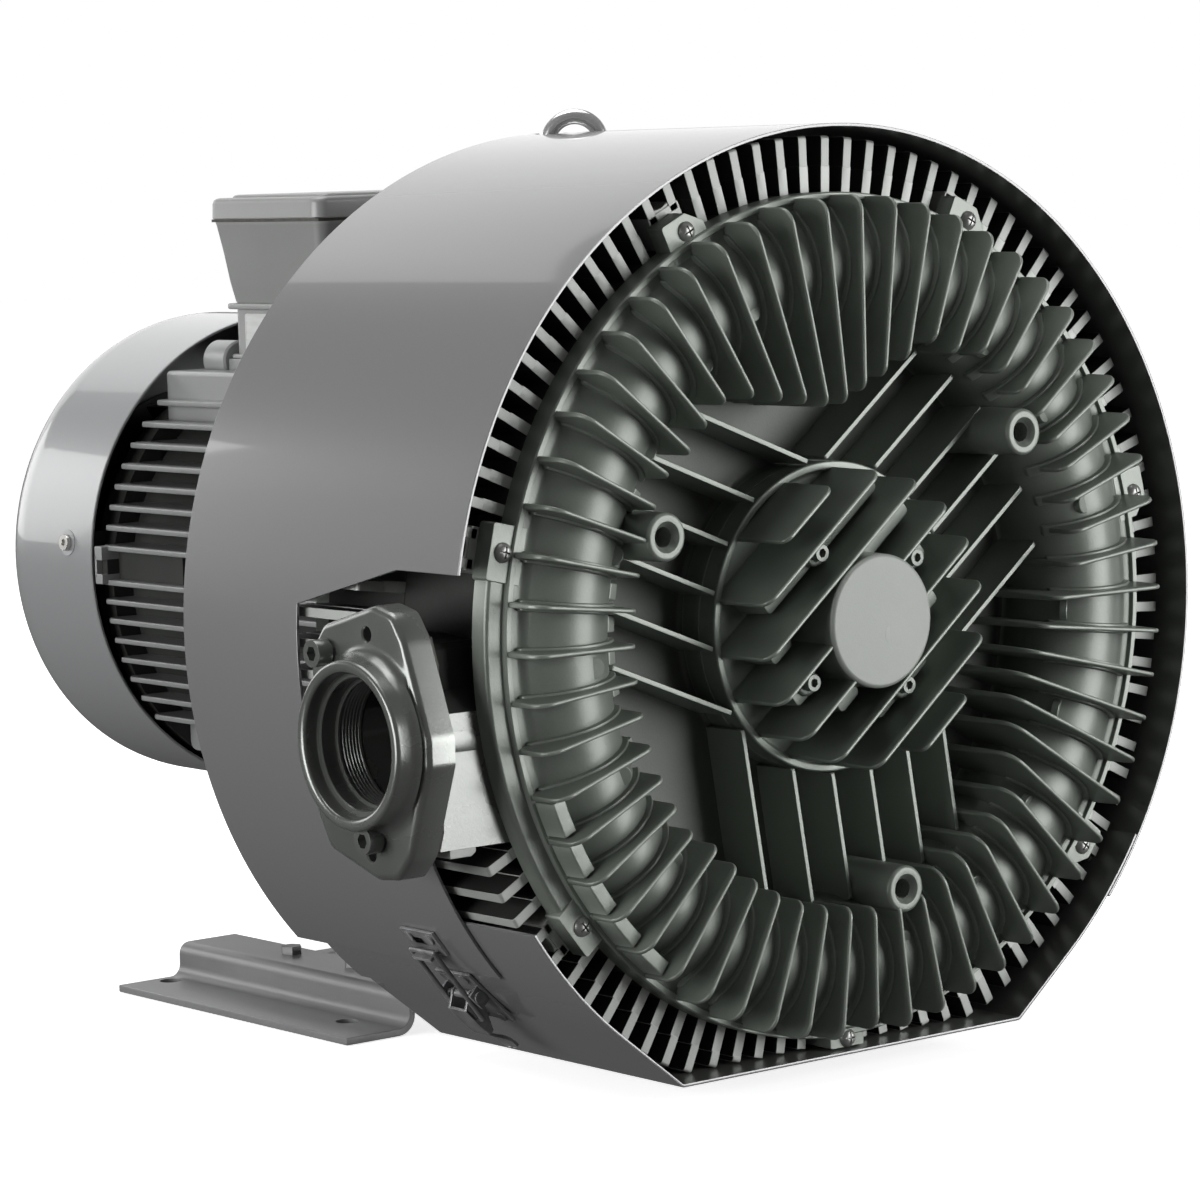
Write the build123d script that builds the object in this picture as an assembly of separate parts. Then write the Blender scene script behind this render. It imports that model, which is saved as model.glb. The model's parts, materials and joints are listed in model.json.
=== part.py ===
from build123d import *
import math
import os

os.makedirs("parts", exist_ok=True)

# ---------------------------------------------------------------------------
# Two-stage side channel blower: finned cast housing inside a round sheet
# shroud, driven directly by a foot-standing electric motor.
# Working frame: shaft along Y, y = 0 at the front edge of the shroud,
# shaft centre at x = z = 0, Z up.  Every piece is moved to the base-plate
# frame on export (origin at the centre of the four foot holes, on the floor).
# ---------------------------------------------------------------------------

# placement in the base frame
AXIS_HEIGHT = 285.0        # shaft centre above the floor plane
FEET_CENTRE_Y = 466.0      # foot-hole pattern centre behind the shroud front edge
FOOT_HOLE_X = 254.0        # across
FOOT_HOLE_Y = 210.0        # along the shaft
FOOT_HOLE_D = 15.0

# shroud
R_SHROUD = 300.0
T_SHEET = 2.0
SHROUD_LEN = 276.0
FLAT_Z = -269.3
R_LOWER = 297.8            # lower sheet lies just inside the upper one

# housing castings
R_MAJOR = 214.0            # side channel centre circle
R_TUBE = 39.0              # outside radius of the channel wall
R_CHANNEL = 33.0
Y_CHANNEL = 30.0
R_FLANGE = 258.7
R_RIM_BORE = 247.0
Y_SPLIT1 = 21.0            # front cover / middle casing
Y_SPLIT2 = 104.0           # middle casing / rear casing
Y_SYM = 101.0              # the two stages mirror about this plane
R_BAR = 293.0              # outer radius of the long cooling bars
BAR_COUNT = 98
BAR_PHASE = 117.36
BAR_T = 4.4
CASTING_FLAT_Z = -266.6

# front cover details
COVER_SCREWS = 7
SCREW_R = 264.3
SCREW_R_LOW = 260.4         # the lowest one sits a little further in, above the flat
SCREW_PHASE = 115.52
FIN_COUNT = 56
FIN_T = 3.0
FIN_Y = -21.5
BOSS_R = 170.0
BOSS_OD = 29.0
BOSS_PHASE = 38.5
BOSS_HOLE_R = 7.0
HUB_R = 95.4
CAP_R = 40.8
CAP_Y = -32.4

# ports
PORT_Z = -48.0
IN_Y = 57.0
OUT_Y = 2 * Y_SYM - IN_Y
PORT_BORE_R = 36.1         # thread minor radius
MOUTH_R = 42.0
FLANGE_X = 300.0
FLANGE_T = 20.0
MOUTH_X = 337.0

# shaft line
SH_FRONT = 15.0
SH_MAIN = 19.0
SH_DE = 22.5
SH_CORE = 27.5
FIT = 0.05

# motor
FRAME_Y0 = 240.0
FRAME_Y1 = 588.0
FRAME_R = 135.0
FRAME_BORE = 127.0
COWL_R = 166.5
COWL_Y0 = 590.0
COWL_Y1 = 716.0
COWL_RISE = 13.0           # the cowl sits this much above the shaft line
FIN_RISE = 7.0             # and so does the envelope of the frame's side fins
# side fins, with a wider space for the cowl bracket
MOTOR_FIN_Z = (-95.8, -81.6, -67.5, -53.4, -39.4, -25.5, -11.9, 1.5, 25.2, 38.9, 52.6, 66.5, 80.3, 94.3, 108.2, 122.5)

PLACE = Location((0, -FEET_CENTRE_Y, AXIS_HEIGHT))


# ---------------------------------------------------------------- helpers
def prof(start, *steps):
    """Closed face in the r-y plane; a step is a point or (mid, end) for an arc."""
    edges = []
    p = start
    for s in steps:
        if isinstance(s[0], tuple):
            edges.append(ThreePointArc(p, s[0], s[1]))
            p = s[1]
        else:
            edges.append(Line(p, s))
            p = s
    if (abs(p[0] - start[0]) + abs(p[1] - start[1])) > 1e-9:
        edges.append(Line(p, start))
    return make_face(edges)


def rev(face, angle=360.0):
    return revolve(face, Axis.Y, angle)


def slab(sk, y0, y1):
    return extrude(Plane.XZ.offset(-y0) * sk, amount=-(y1 - y0))


def cyl(r, y0, y1, x=0.0, z=0.0):
    return slab(Pos(x, z) * Circle(r), y0, y1)


def ring(ro, ri, y0, y1, x=0.0, z=0.0):
    return slab(Pos(x, z) * (Circle(ro) - Circle(ri)), y0, y1)


def box(x0, x1, y0, y1, z0, z1):
    return Pos((x0 + x1) / 2, (y0 + y1) / 2, (z0 + z1) / 2) * Box(x1 - x0, y1 - y0, z1 - z0)


def at(theta, shape):
    """Turn a shape built on the +X side to the angle theta round the shaft."""
    return Rot(0, -theta, 0) * shape


def pol(r, th):
    return r * math.cos(math.radians(th)), r * math.sin(math.radians(th))


def fuse(base, parts):
    parts = list(parts)
    return base.fuse(*parts) if parts else base


def solids(shapes):
    out = []
    for s in shapes:
        out += list(s.solids())
    return Compound(out)


def put(shape, node):
    s = shape.moved(PLACE) if not isinstance(shape, Compound) or True else shape
    ns = s.solids()
    if len(ns) == 1:
        s = ns[0]
    else:
        s = Compound(list(ns))
    export_step(s, f"parts/{node}.step")
    print(f"{node:26s} solids {len(ns):3d} volume {sum(q.volume for q in ns):12.1f} valid {all(q.is_valid for q in ns) if not callable(ns[0].is_valid) else all(q.is_valid() for q in ns)}", flush=True)


screw_angles = [SCREW_PHASE - k * 360.0 / COVER_SCREWS for k in range(COVER_SCREWS)]


def screw_r(a):
    return SCREW_R_LOW if abs(a + 90.0) < 5.0 else SCREW_R


boss_angles = [BOSS_PHASE + 120.0 * k for k in range(3)]

# ------------------------------------------------------------ front cover
c45 = math.sqrt(0.5)
dome_l = (R_MAJOR - R_TUBE, Y_CHANNEL)
dome_t = (R_MAJOR, Y_CHANNEL - R_TUBE)
dome_mid1 = (R_MAJOR - R_TUBE * c45, Y_CHANNEL - R_TUBE * c45)
y_meet = 8.0
r_meet = R_MAJOR + math.sqrt(R_TUBE ** 2 - (Y_CHANNEL - y_meet) ** 2)
am = math.radians(62.0)
dome_mid2 = (R_MAJOR + R_TUBE * math.cos(am), Y_CHANNEL - R_TUBE * math.sin(am))
cover_profile = prof(
    (40.0, 52.0), (40.0, 27.0), (95.4, 27.0), (95.4, 45.0), (175.0, 45.0), dome_l,
    (dome_mid1, dome_t), (dome_mid2, (r_meet, y_meet)), (R_FLANGE, 8.0),
    (R_FLANGE, Y_SPLIT1), (246.6, Y_SPLIT1), (246.6, 30.0), (181.5, 30.0), (181.5, 52.0))
cover = rev(cover_profile)

def fin_in(th):
    """Inner end of a fin: two shallow vees opposite the bosses, else a near-round opening."""
    a = th % 360.0
    if 20.0 < a <= 60.0:
        cap = 184.0
    elif 60.0 < a <= 145.0 or 224.0 < a <= 268.0:
        cap = 174.5
    elif 268.0 < a <= 284.0:
        cap = 176.0
    elif 284.0 < a <= 315.0:
        cap = 168.0
    else:
        cap = 181.0
    for mid in (98.5, 338.5):
        d = abs((a - mid + 180.0) % 360.0 - 180.0)
        den = math.cos(math.radians(d)) - 0.3 * math.sin(math.radians(d))
        if d < 60.0 and den > 0.3:
            cap = min(cap, 130.7 / den)
    return cap


def fin_face(r_in, rc=8.0):
    return prof(
        (r_in, 48.0), (r_in, FIN_Y + rc),
        ((r_in + rc * (1 - c45), FIN_Y + rc * (1 - c45)), (r_in + rc, FIN_Y)),
        (247.0, FIN_Y), ((247.0 + 10.0 * c45, FIN_Y + 10.0 * (1 - c45)), (257.0, FIN_Y + 10.0)),
        (257.0, 9.0), (230.0, 18.0), (190.0, 18.0), (190.0, 48.0))


fins = []
for k in range(FIN_COUNT):
    th = SCREW_PHASE + k * 360.0 / FIN_COUNT
    fins.append(at(th, Pos(0, 0, -FIN_T / 2) * extrude(fin_face(fin_in(th)), amount=FIN_T)))
lugs = [at(a, box(250.0, 274.0, 8.0, Y_SPLIT1, -16.0, 16.5)) for a in screw_angles]
bosses = [at(a, cyl(BOSS_OD / 2, FIN_Y + 0.7, 48.4, x=BOSS_R)) for a in boss_angles]
ribs = []
for a in boss_angles:
    for off in (-83.0, -48.0, -17.0, 14.0, 46.0, 78.0):
        r_in = math.sqrt(96.5 ** 2 - (abs(off) - 1.5) ** 2)
        r_out = math.sqrt(176.0 ** 2 - off ** 2)
        ribs.append(at(a, box(r_in, r_out, 13.0, 48.0, off - 1.5, off + 1.5)))
cover = fuse(cover, bosses + ribs + lugs)
cover = fuse(cover, fins)
channel = prof(
    (R_MAJOR - 31.5, 35.0), (R_MAJOR - 31.5, 29.0),
    ((R_MAJOR - 32.0 * c45, 29.5 - 32.0 * c45), (R_MAJOR, -2.5)),
    ((R_MAJOR + 31.5 * c45, 29.5 - 32.0 * c45), (R_MAJOR + 31.5, 29.0)),
    (R_MAJOR + 31.5, 35.0))
cover = cover - at(152.6, rev(channel, 342.0))
cutters = [at(a, cyl(3.4, -30, 60, x=screw_r(a))) for a in screw_angles]
cutters += [at(a, cyl(6.6, -30, 8.0, x=screw_r(a))) for a in screw_angles]
tap = rev(prof((0, FIN_Y - 3.3), (BOSS_HOLE_R + 6.0, FIN_Y - 3.3), (BOSS_HOLE_R, FIN_Y + 2.7), (BOSS_HOLE_R, 38.0), (0, 41.0)))
cutters += [at(a, Pos(BOSS_R, 0, 0) * tap) for a in boss_angles]
cutters += [at(BOSS_PHASE + 90 * k, cyl(3.15, 20, 46, x=55.3)) for k in range(4)]
for c in cutters:
    cover = cover - c
cover = cover - box(-400, 400, -50, 60, -400, CASTING_FLAT_Z - 0.2)
put(cover, "front_cover")

# cover screws: pan heads with a cross recess
def pan_screw(head_r, head_h, shank_r, y_face, y_end, x):
    s = rev(prof((0, y_face), (0, y_face - head_h), ((head_r * 0.72, y_face - head_h * 0.82), (head_r, y_face - head_h * 0.25)), (head_r, y_face), (shank_r, y_face), (shank_r, y_end - 1), (shank_r - 1, y_end), (0, y_end)))
    s = s - box(-head_r * 0.62, head_r * 0.62, y_face - head_h - 1, y_face - head_h + 2.0, -0.55, 0.55)
    s = s - box(-0.55, 0.55, y_face - head_h - 1, y_face - head_h + 2.0, -head_r * 0.62, head_r * 0.62)
    return Pos(x, 0, 0) * s


put(solids([at(a, pan_screw(6.0, 3.8, 3.0, 8.0, 34.0, screw_r(a))) for a in screw_angles]), "front_cover_screws")

# -------------------------------------------------------------- hub cover
hub = rev(prof((0, CAP_Y), (CAP_R - 3.0, CAP_Y), ((CAP_R - 3.0 + 3.0 * c45, CAP_Y + 3.0 - 3.0 * c45), (CAP_R, CAP_Y + 3.0)), (CAP_R, 19.0), (90.0, 19.0), (90.0, 13.0), (HUB_R, 13.0), (HUB_R, 26.9), (0, 26.9)))
hub_parts = []
for off in (-87.0, -68.0, -42.5, -14.5, 14.5, 42.5, 68.0, 87.0):
    h = math.sqrt(90.0 ** 2 - off ** 2)
    hub_parts.append(at(BOSS_PHASE, box(-h, h, -30.0, 21.0, off - 1.5, off + 1.5)))
for k in range(4):
    hub_parts.append(at(BOSS_PHASE + 90 * k, cyl(8.5, -11.5, 21.0, x=55.3)))
hub = fuse(hub, hub_parts)
hub = hub - cyl(36.0 + FIT, -24.5, 40) - cyl(15.2, -28.0, 0)
for k in range(4):
    hub = hub - at(BOSS_PHASE + 90 * k, cyl(3.3, -60, 40, x=55.3)) - at(BOSS_PHASE + 90 * k, cyl(5.6, -60, -11.5, x=55.3))
put(hub, "hub_cover")


def cap_screw(head_r, head_h, shank_r, length, hex_r):
    """Socket-head screw along +Y, underside of head at y = 0."""
    s = cyl(head_r, -head_h, 0) + cyl(shank_r, 0, length)
    return s - slab(RegularPolygon(hex_r, 6), -head_h - 1, -head_h + head_h * 0.55)


hs = Pos(55.3, -11.5, 0) * cap_screw(5.0, 6.0, 3.0, 55.0, 2.9)
put(solids([at(BOSS_PHASE + 90 * k, hs) for k in range(4)]), "hub_cover_screws")

# ---------------------------------------------------- middle & rear casing
def bars_sketch(skip):
    sk = Circle(R_FLANGE) - Circle(R_RIM_BORE)
    bars = []
    for k in range(BAR_COUNT):
        th = BAR_PHASE - 360.0 / BAR_COUNT * k
        if skip(th):
            continue
        bars.append(Rot(0, 0, th) * Pos((R_FLANGE - 3 + R_BAR) / 2, 0) * Rectangle(R_BAR - R_FLANGE + 3, BAR_T))
    for a in screw_angles:
        bars.append(Rot(0, 0, a) * Pos(266.0, 0) * Rectangle(26.0, 26.0))
    return sk + bars


def skip_left(th):
    x, z = pol(275.0, th)
    return x < 0 and -121.0 < z < 26.0


def skip_right(th):
    x, z = pol(275.0, th)
    return x > 0 and -121.0 < z < 26.0


FLAT_CUT = box(-400, 400, -50, 400, -400, CASTING_FLAT_Z)
mid = slab(bars_sketch(skip_left), Y_SPLIT1 + 0.1, Y_SPLIT2 - 0.1)
neck_l = box(-298.4, -235.0, Y_SPLIT1 + 0.1, 98.0, PORT_Z - 62.0, PORT_Z + 62.0) - cyl(R_RIM_BORE, 0, 130)
mid = mid + neck_l
mid = mid + ring(249.0, 26.4, 87.0, Y_SPLIT2 - 0.1) + ring(246.7, 26.4, 95.0, 115.5)
mid = mid - Pos(-260, IN_Y, PORT_Z) * Rot(0, 90, 0) * Cylinder(PORT_BORE_R, 120)
xo, zo = pol(R_MAJOR, 62.0)
mid = mid - cyl(24.0, 80, 130, x=xo, z=zo)
mid = mid - FLAT_CUT
for a in screw_angles:
    mid = mid - at(a, cyl(3.15, 20, 37, x=screw_r(a))) - at(a, cyl(4.15, 58, 120, x=268.0))
for dy, dz in ((38.2, 50.2), (-6.0, -55.0)):
    mid = mid - Pos(-290, IN_Y + dy, PORT_Z + dz) * Rot(0, 90, 0) * Cylinder(5.2, 34)
for dy, dz in ((-38.2, 50.2), (6.0, -55.0)):
    mid = mid - Pos(290, OUT_Y + dy, PORT_Z + dz) * Rot(0, 90, 0) * Cylinder(5.4, 34)
put(mid, "middle_casing")

rear = slab(bars_sketch(skip_right), Y_SPLIT2 + 0.1, 2 * Y_SYM - Y_SPLIT1)
neck_r = box(235.0, 298.4, 2 * Y_SYM - 98.0, 2 * Y_SYM - Y_SPLIT1, PORT_Z - 62.0, PORT_Z + 62.0) - cyl(R_RIM_BORE, 90, 200)
rear = rear + neck_r
YB = 2 * Y_SYM
rear_shell = rev(prof(
    (40.0, YB - 52.0), (40.0, 162.0), (28.0, 162.0), (28.0, 190.0), (50.0 + FIT, 190.0), (50.0 + FIT, 222.0), (52.0, 222.0), (52.0, 239.9),
    (162.0, 239.9), (162.0, 224.0), (175.0, 196.0), (175.0, YB - 30.0),
    ((R_MAJOR - R_TUBE * c45, YB - 30.0 + R_TUBE * c45), (R_MAJOR, YB - 30.0 + R_TUBE)),
    ((R_MAJOR + R_TUBE * math.cos(am), YB - 30.0 + R_TUBE * math.sin(am)), (r_meet, YB - y_meet)),
    (R_FLANGE, YB - 8.0), (R_FLANGE, YB - 22.0), (246.9, YB - 22.0), (246.9, YB - 30.0), (181.5, YB - 30.0), (181.5, YB - 52.0)))
rear = rear + rear_shell
# webs between the shell and the drive-end face, lifting boss, foot block
rear_fins = [at(a, box(150.0, 236.0, 198.0, 239.5, -3.0, 3.0)) for a in range(0, 360, 20) if abs((a - 90 + 180) % 360 - 180) > 12 and abs((a - 270 + 180) % 360 - 180) > 25]
rear = fuse(rear, rear_fins)
rear = rear + box(-24.0, 24.0, 228.0, 274.0, 172.0, 270.0) + box(-24.0, 24.0, 196.0, 232.0, 150.0, 262.0)
rear = rear + (box(-88.0, 88.0, 200.0, 300.0, -262.0, -248.0) + box(-70.0, -52.0, 190.0, 296.0, -250.0, -150.0) + box(52.0, 70.0, 190.0, 296.0, -250.0, -150.0) - cyl(170.0, 235.0, 400.0))
rear = rear - slab(Circle(246.9) - Circle(181.5), 148.0, 176.5) - box(-400, 400, 0, 400, -400, CASTING_FLAT_Z)
channel_r = prof(
    (R_MAJOR - 32.5, YB - 30.0),
    ((R_MAJOR - 32.5 * c45, YB - 30.0 + 33.0 * c45), (R_MAJOR, YB + 3.0)),
    ((R_MAJOR + 32.0 * c45, YB - 30.0 + 33.0 * c45), (R_MAJOR + 32.0, YB - 30.0)),
    (R_MAJOR + 32.0, YB - 31.0), (R_MAJOR - 32.5, YB - 31.0))
rear = rear - at(30.0, rev(channel_r, 342.0))
rear = rear - Pos(260, OUT_Y, PORT_Z) * Rot(0, 90, 0) * Cylinder(PORT_BORE_R, 120)
for a in screw_angles:
    rear = rear - at(a, cyl(4.4, 90, 195, x=268.0))
for dy, dz in ((-38.2, 50.2), (6.0, -55.0)):
    rear = rear - Pos(290, OUT_Y + dy, PORT_Z + dz) * Rot(0, 90, 0) * Cylinder(5.2, 34)
EYE_Y = 252.0
rear = rear - Pos(0, EYE_Y, 260) * Cylinder(5.15, 22)
FOOT_BOLT_PTS = [(-38.0, 256.0), (38.0, 256.0), (-38.0, 286.0), (38.0, 286.0)]
for x, y in FOOT_BOLT_PTS:
    rear = rear - Pos(x, y, -256) * Cylinder(4.15, 14)
MOTOR_BOLT_ANG = [22.0, 158.0, 202.0, 338.0]
for a in MOTOR_BOLT_ANG:
    rear = rear - at(a, cyl(5.15, 214, 245, x=145.0))
put(rear, "rear_casing")

put(solids([at(a, Pos(268.0, 181.1, 0) * Rot(0, 0, 180) * cap_screw(6.5, 8.0, 4.0, 120.0, 3.4)) for a in screw_angles if abs(a + 90.0) > 5.0]), "casing_bolts")

# ------------------------------------------------------------------ ports
# outline in the flange plane: first coordinate towards the front, second up
FL_OUT = [(-57, -44), (-57, 50), (-44, 66), (6, 80), (24, 76), (34, 62), (55, 6), (55, -10), (35, -64), (22, -78), (2, -80), (-44, -66)]


def port_flange(sign):
    """sign -1: inlet on the left, +1: outlet on the right (turned half a turn about Z)."""
    pts = FL_OUT
    face = make_face(Polyline(*[(p[0], p[1]) for p in pts], close=True))
    face = fillet(face.vertices(), 7.0)
    pl = Plane(origin=(-FLANGE_X, IN_Y, PORT_Z), x_dir=(0, -1, 0), z_dir=(-1, 0, 0))
    body = extrude(face, amount=FLANGE_T)
    body = body + Pos(0, 0, FLANGE_T) * (Cone(55.0, 51.0, 6.0, align=(Align.CENTER, Align.CENTER, Align.MIN)))
    body = body + Pos(0, 0, FLANGE_T) * Cylinder(49.5, MOUTH_X - FLANGE_X - FLANGE_T, align=(Align.CENTER, Align.CENTER, Align.MIN))
    for u, v in ((-38.2, 50.2), (6.0, -55.0)):
        body = body + Pos(u, v, FLANGE_T - 2) * Cylinder(11.0, 12.0, align=(Align.CENTER, Align.CENTER, Align.MIN))
    body = body - Cylinder(PORT_BORE_R, 200)
    body = body - Pos(0, 0, 17.0) * Cylinder(38.5, 60, align=(Align.CENTER, Align.CENTER, Align.MIN))
    body = body - Pos(0, 0, 27.0) * Cylinder(MOUTH_R, 60, align=(Align.CENTER, Align.CENTER, Align.MIN))
    for u, v in ((-38.2, 50.2), (6.0, -55.0)):
        body = body - Pos(u, v, 0) * Cylinder(5.5, 100)
        body = body - Pos(u, v, 22.0) * Cylinder(8.6, 60, align=(Align.CENTER, Align.CENTER, Align.MIN))
    for u, v in ((0.0, 63.0), (-2.0, -65.0)):
        body = body - Pos(u, v, 0) * Cylinder(4.25, 100)
    body = pl * body
    if sign > 0:
        body = Pos(0, Y_SYM, 0) * Rot(0, 0, 180) * Pos(0, -Y_SYM, 0) * body
    return body


def turn_to_outlet(s):
    return Pos(0, Y_SYM, 0) * Rot(0, 0, 180) * Pos(0, -Y_SYM, 0) * s


put(port_flange(-1), "inlet_flange")
put(port_flange(1), "outlet_flange")
gk = make_face(Polyline(*FL_OUT, close=True))
gk = fillet(gk.vertices(), 7.0)
gk = (gk & (Pos(0, 0) * Rectangle(80.0, 124.0))) - Circle(PORT_BORE_R + 1.0)
for u, v in ((-38.2, 50.2), (6.0, -55.0)):
    gk = gk - Pos(u, v) * Circle(5.6)
pl_g = Plane(origin=(-298.45, IN_Y, PORT_Z), x_dir=(0, -1, 0), z_dir=(-1, 0, 0))
gasket = pl_g * extrude(gk, amount=1.5)
put(gasket, "inlet_gasket")
put(turn_to_outlet(gasket), "outlet_gasket")
ps = []
for u, v in ((-38.2, 50.2), (6.0, -55.0)):
    s = Rot(0, 0, -90) * cap_screw(8.0, 10.0, 5.0, 44.0, 4.6)
    ps.append(Pos(-FLANGE_X - 22.0, IN_Y - u, PORT_Z + v) * s)
put(solids(ps), "inlet_flange_screws")
put(solids([turn_to_outlet(s) for s in ps]), "outlet_flange_screws")

# ----------------------------------------------------------------- shroud
A_UP = -138.0              # lower edge of the upper sheet, left side
A_LOW = -146.7             # upper edge of the lower sheet, left side


def wedge(r, a0, a1):
    """Sector sketch between two angles (degrees, a1 > a0)."""
    n = max(2, int((a1 - a0) / 20) + 1)
    pts = [(0, 0)] + [pol(r, a0 + (a1 - a0) * i / n) for i in range(n + 1)]
    return make_face(Polyline(*pts, close=True))


arc_up = (Circle(R_SHROUD) - Circle(R_SHROUD - T_SHEET)) - wedge(700.0, -138.0, -42.0)
upper = slab(arc_up, 0.0, SHROUD_LEN)
side = Plane.YZ
notch = make_face(Polyline((-5, 50), (59, 50), (155, 25), (155, -118), (64, -118), (70, -300), (-5, -300), close=True))
cut_l = Pos(-400, 0, 0) * extrude(Plane.YZ * notch, amount=250.0)
upper = upper - cut_l
win_r = make_face(Polyline((240, 45), (150, 50), (72, 45), (72, -122), (240, -122), close=True))
upper = upper - Pos(150, 0, 0) * extrude(Plane.YZ * win_r, amount=250.0)
upper = upper - Pos(0, EYE_Y, 300) * Cylinder(26.0, 20)

RIVET_SEAM = [(-37.6, y) for y in (30.0, 105.0, 180.0, 240.0)]
# flat-bottomed lower sheet
def lower_section(r, zf):
    th = math.radians(-128.5)
    px, pz = r * math.cos(th), r * math.sin(th)
    tx, tz = -math.sin(th), math.cos(th)
    k = (zf - pz) / tz
    cx = px + k * tx
    skirt = make_face(Polyline((0, 0), (px, pz), (cx, zf), (-cx, zf), (-px, pz), close=True))
    return (Circle(r) + skirt) & (Pos(0, zf + 400.0) * Rectangle(900, 800))


outer = lower_section(R_LOWER, FLAT_Z)
inner = lower_section(R_LOWER - T_SHEET, FLAT_Z + T_SHEET)
low_sk = (outer - inner) & wedge(900.0, -146.7, -33.3)
lower = slab(low_sk, 0.0, 250.0)
lower = lower - box(-400, 400, 240.0, 300.0, -400.0, -227.0)


def hole_radial(theta, y, r, r0=280.0, r1=320.0):
    return at(theta, Pos((r0 + r1) / 2, y, 0) * Rot(0, 90, 0) * Cylinder(r, r1 - r0))


rivs = []
for th, y in RIVET_SEAM:
    upper = upper - hole_radial(th, y, 2.1)
    lower = lower - hole_radial(th, y, 2.1)
    rv = Pos(300.1, y, 0) * Rot(0, 90, 0) * (Cylinder(4.0, 1.2, align=(Align.CENTER, Align.CENTER, Align.MIN))) + Pos(295.0, y, 0) * Rot(0, 90, 0) * Cylinder(2.0, 5.1, align=(Align.CENTER, Align.CENTER, Align.MIN)) + Pos(293.6, y, 0) * Rot(0, 90, 0) * Cylinder(3.0, 1.8, align=(Align.CENTER, Align.CENTER, Align.MIN))
    rivs.append(at(th, rv))

# latch frames: local x down round the shell, local y forward, local z outward
LATCH_Y = 118.0
TH_B = -133.5
TH_H = -142.3


def frame_at(theta, r, y):
    c, s = math.cos(math.radians(theta)), math.sin(math.radians(theta))
    return Plane(origin=(r * c, y, r * s), x_dir=(-s, 0, c), z_dir=(c, 0, s))


PB = frame_at(TH_B, R_LOWER + 0.15, LATCH_Y)
PH = frame_at(TH_H, R_SHROUD + 0.15, LATCH_Y)


def lbox(x0, x1, y0, y1, z0, z1):
    return Pos((x0 + x1) / 2, (y0 + y1) / 2, (z0 + z1) / 2) * Box(x1 - x0, y1 - y0, z1 - z0)


def lcyl_y(r, y0, y1, x, z):
    return Pos(x, (y0 + y1) / 2, z) * Rot(90, 0, 0) * Cylinder(r, y1 - y0)


P1 = (-4.0, 6.0)
P2 = (10.0, 13.0)
HOOKBAR = (-46.6, 4.6)
base = lbox(-20.5, 27.0, -17.0, 17.0, 0.0, 2.0)
for s in (-1, 1):
    y0, y1 = (13.5, 15.5) if s > 0 else (-15.5, -13.5)
    ear = lbox(-10.0, 3.0, y0, y1, 1.0, 10.0)
    base = base + ear
base = base - lcyl_y(2.6, -20, 20, P1[0], P1[1])
base_riv = [(-16.5, -9.0), (-16.5, 9.0), (22.5, -9.0), (22.5, 9.0)]
for x, y in base_riv:
    base = base - Pos(x, y, 0) * Cylinder(2.1, 20)
    lower = lower - PB * (Pos(x, y, 0) * Cylinder(2.1, 30))
hook = lbox(-13.0, 6.0, -16.0, 16.0, 0.0, 2.0) + lbox(2.6, 4.8, -9.0, 9.0, 1.0, 8.5) + lbox(0.9, 4.8, -9.0, 9.0, 8.5, 9.6)
hook = hook - lbox(-1.0, 2.6, -9.0, 9.0, 8.4, 12.0)
hook_riv = [(-8.0, -10.0), (-8.0, 10.0)]
for x, y in hook_riv:
    hook = hook - Pos(x, y, 0) * Cylinder(2.1, 20)
    upper = upper - PH * (Pos(x, y, 0) * Cylinder(2.1, 30))
upper = upper
put(upper, "shroud_upper")
put(lower, "shroud_lower")
put(solids(rivs), "shroud_rivets")
put(PB * base, "latch_base")
put(PH * hook, "latch_hook")


def lrivet(x, y, sheet_drop):
    return Pos(x, y, 2.05) * Cylinder(3.6, 1.3, align=(Align.CENTER, Align.CENTER, Align.MIN)) + Pos(x, y, -sheet_drop) * Cylinder(1.9, sheet_drop + 2.1, align=(Align.CENTER, Align.CENTER, Align.MIN))


put(solids([PB * lrivet(x, y, 3.4) for x, y in base_riv] + [PH * lrivet(x, y, 2.2) for x, y in hook_riv]), "latch_rivets")
put(PB * (lcyl_y(2.5, -15.4, 15.4, *P1) + lcyl_y(3.8, 15.55, 17.0, *P1) + lcyl_y(3.8, -17.0, -15.55, *P1) + lcyl_y(2.5, -15.6, 15.6, *P1)), "latch_pin")
# lever: two ears joined by a top plate, bent down to a finger tab
lev_face = make_face(Polyline((-4.0, 2.2), (3.0, 2.6), (14.0, 8.0), (23.0, 12.6), (23.0, 17.0), (-2.0, 17.0), (-6.6, 8.6), close=True))
lev_face = lev_face + Pos(P1[0], P1[1]) * Circle(3.85)   # round heel, so the ears clear the base plate as it turns
lever = None
for y0 in (-9.0, 7.0):
    e = Pos(0, y0 + 2.0, 0) * extrude(Plane.XZ * lev_face, amount=2.0)
    lever = e if lever is None else lever + e
top_face = make_face(Polyline((-2.0, 17.0), (25.0, 17.0), (37.0, 9.5), (48.0, 9.5), (48.0, 7.7), (36.5, 7.7), (24.4, 15.0), (-2.0, 15.0), close=True))
lever = lever + Pos(0, 9.0, 0) * extrude(Plane.XZ * top_face, amount=18.0)
lever = lever - lcyl_y(2.75, -20, 20, *P1) - lcyl_y(1.8, -20, 20, *P2)
put(PB * lever, "latch_lever")
dx, dz = HOOKBAR[0] - P2[0], HOOKBAR[1] - P2[1]
leg_len = math.hypot(dx, dz)
ang = math.degrees(math.atan2(dz, dx))
bail = lcyl_y(1.6, -11.3, 11.3, *HOOKBAR)
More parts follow.
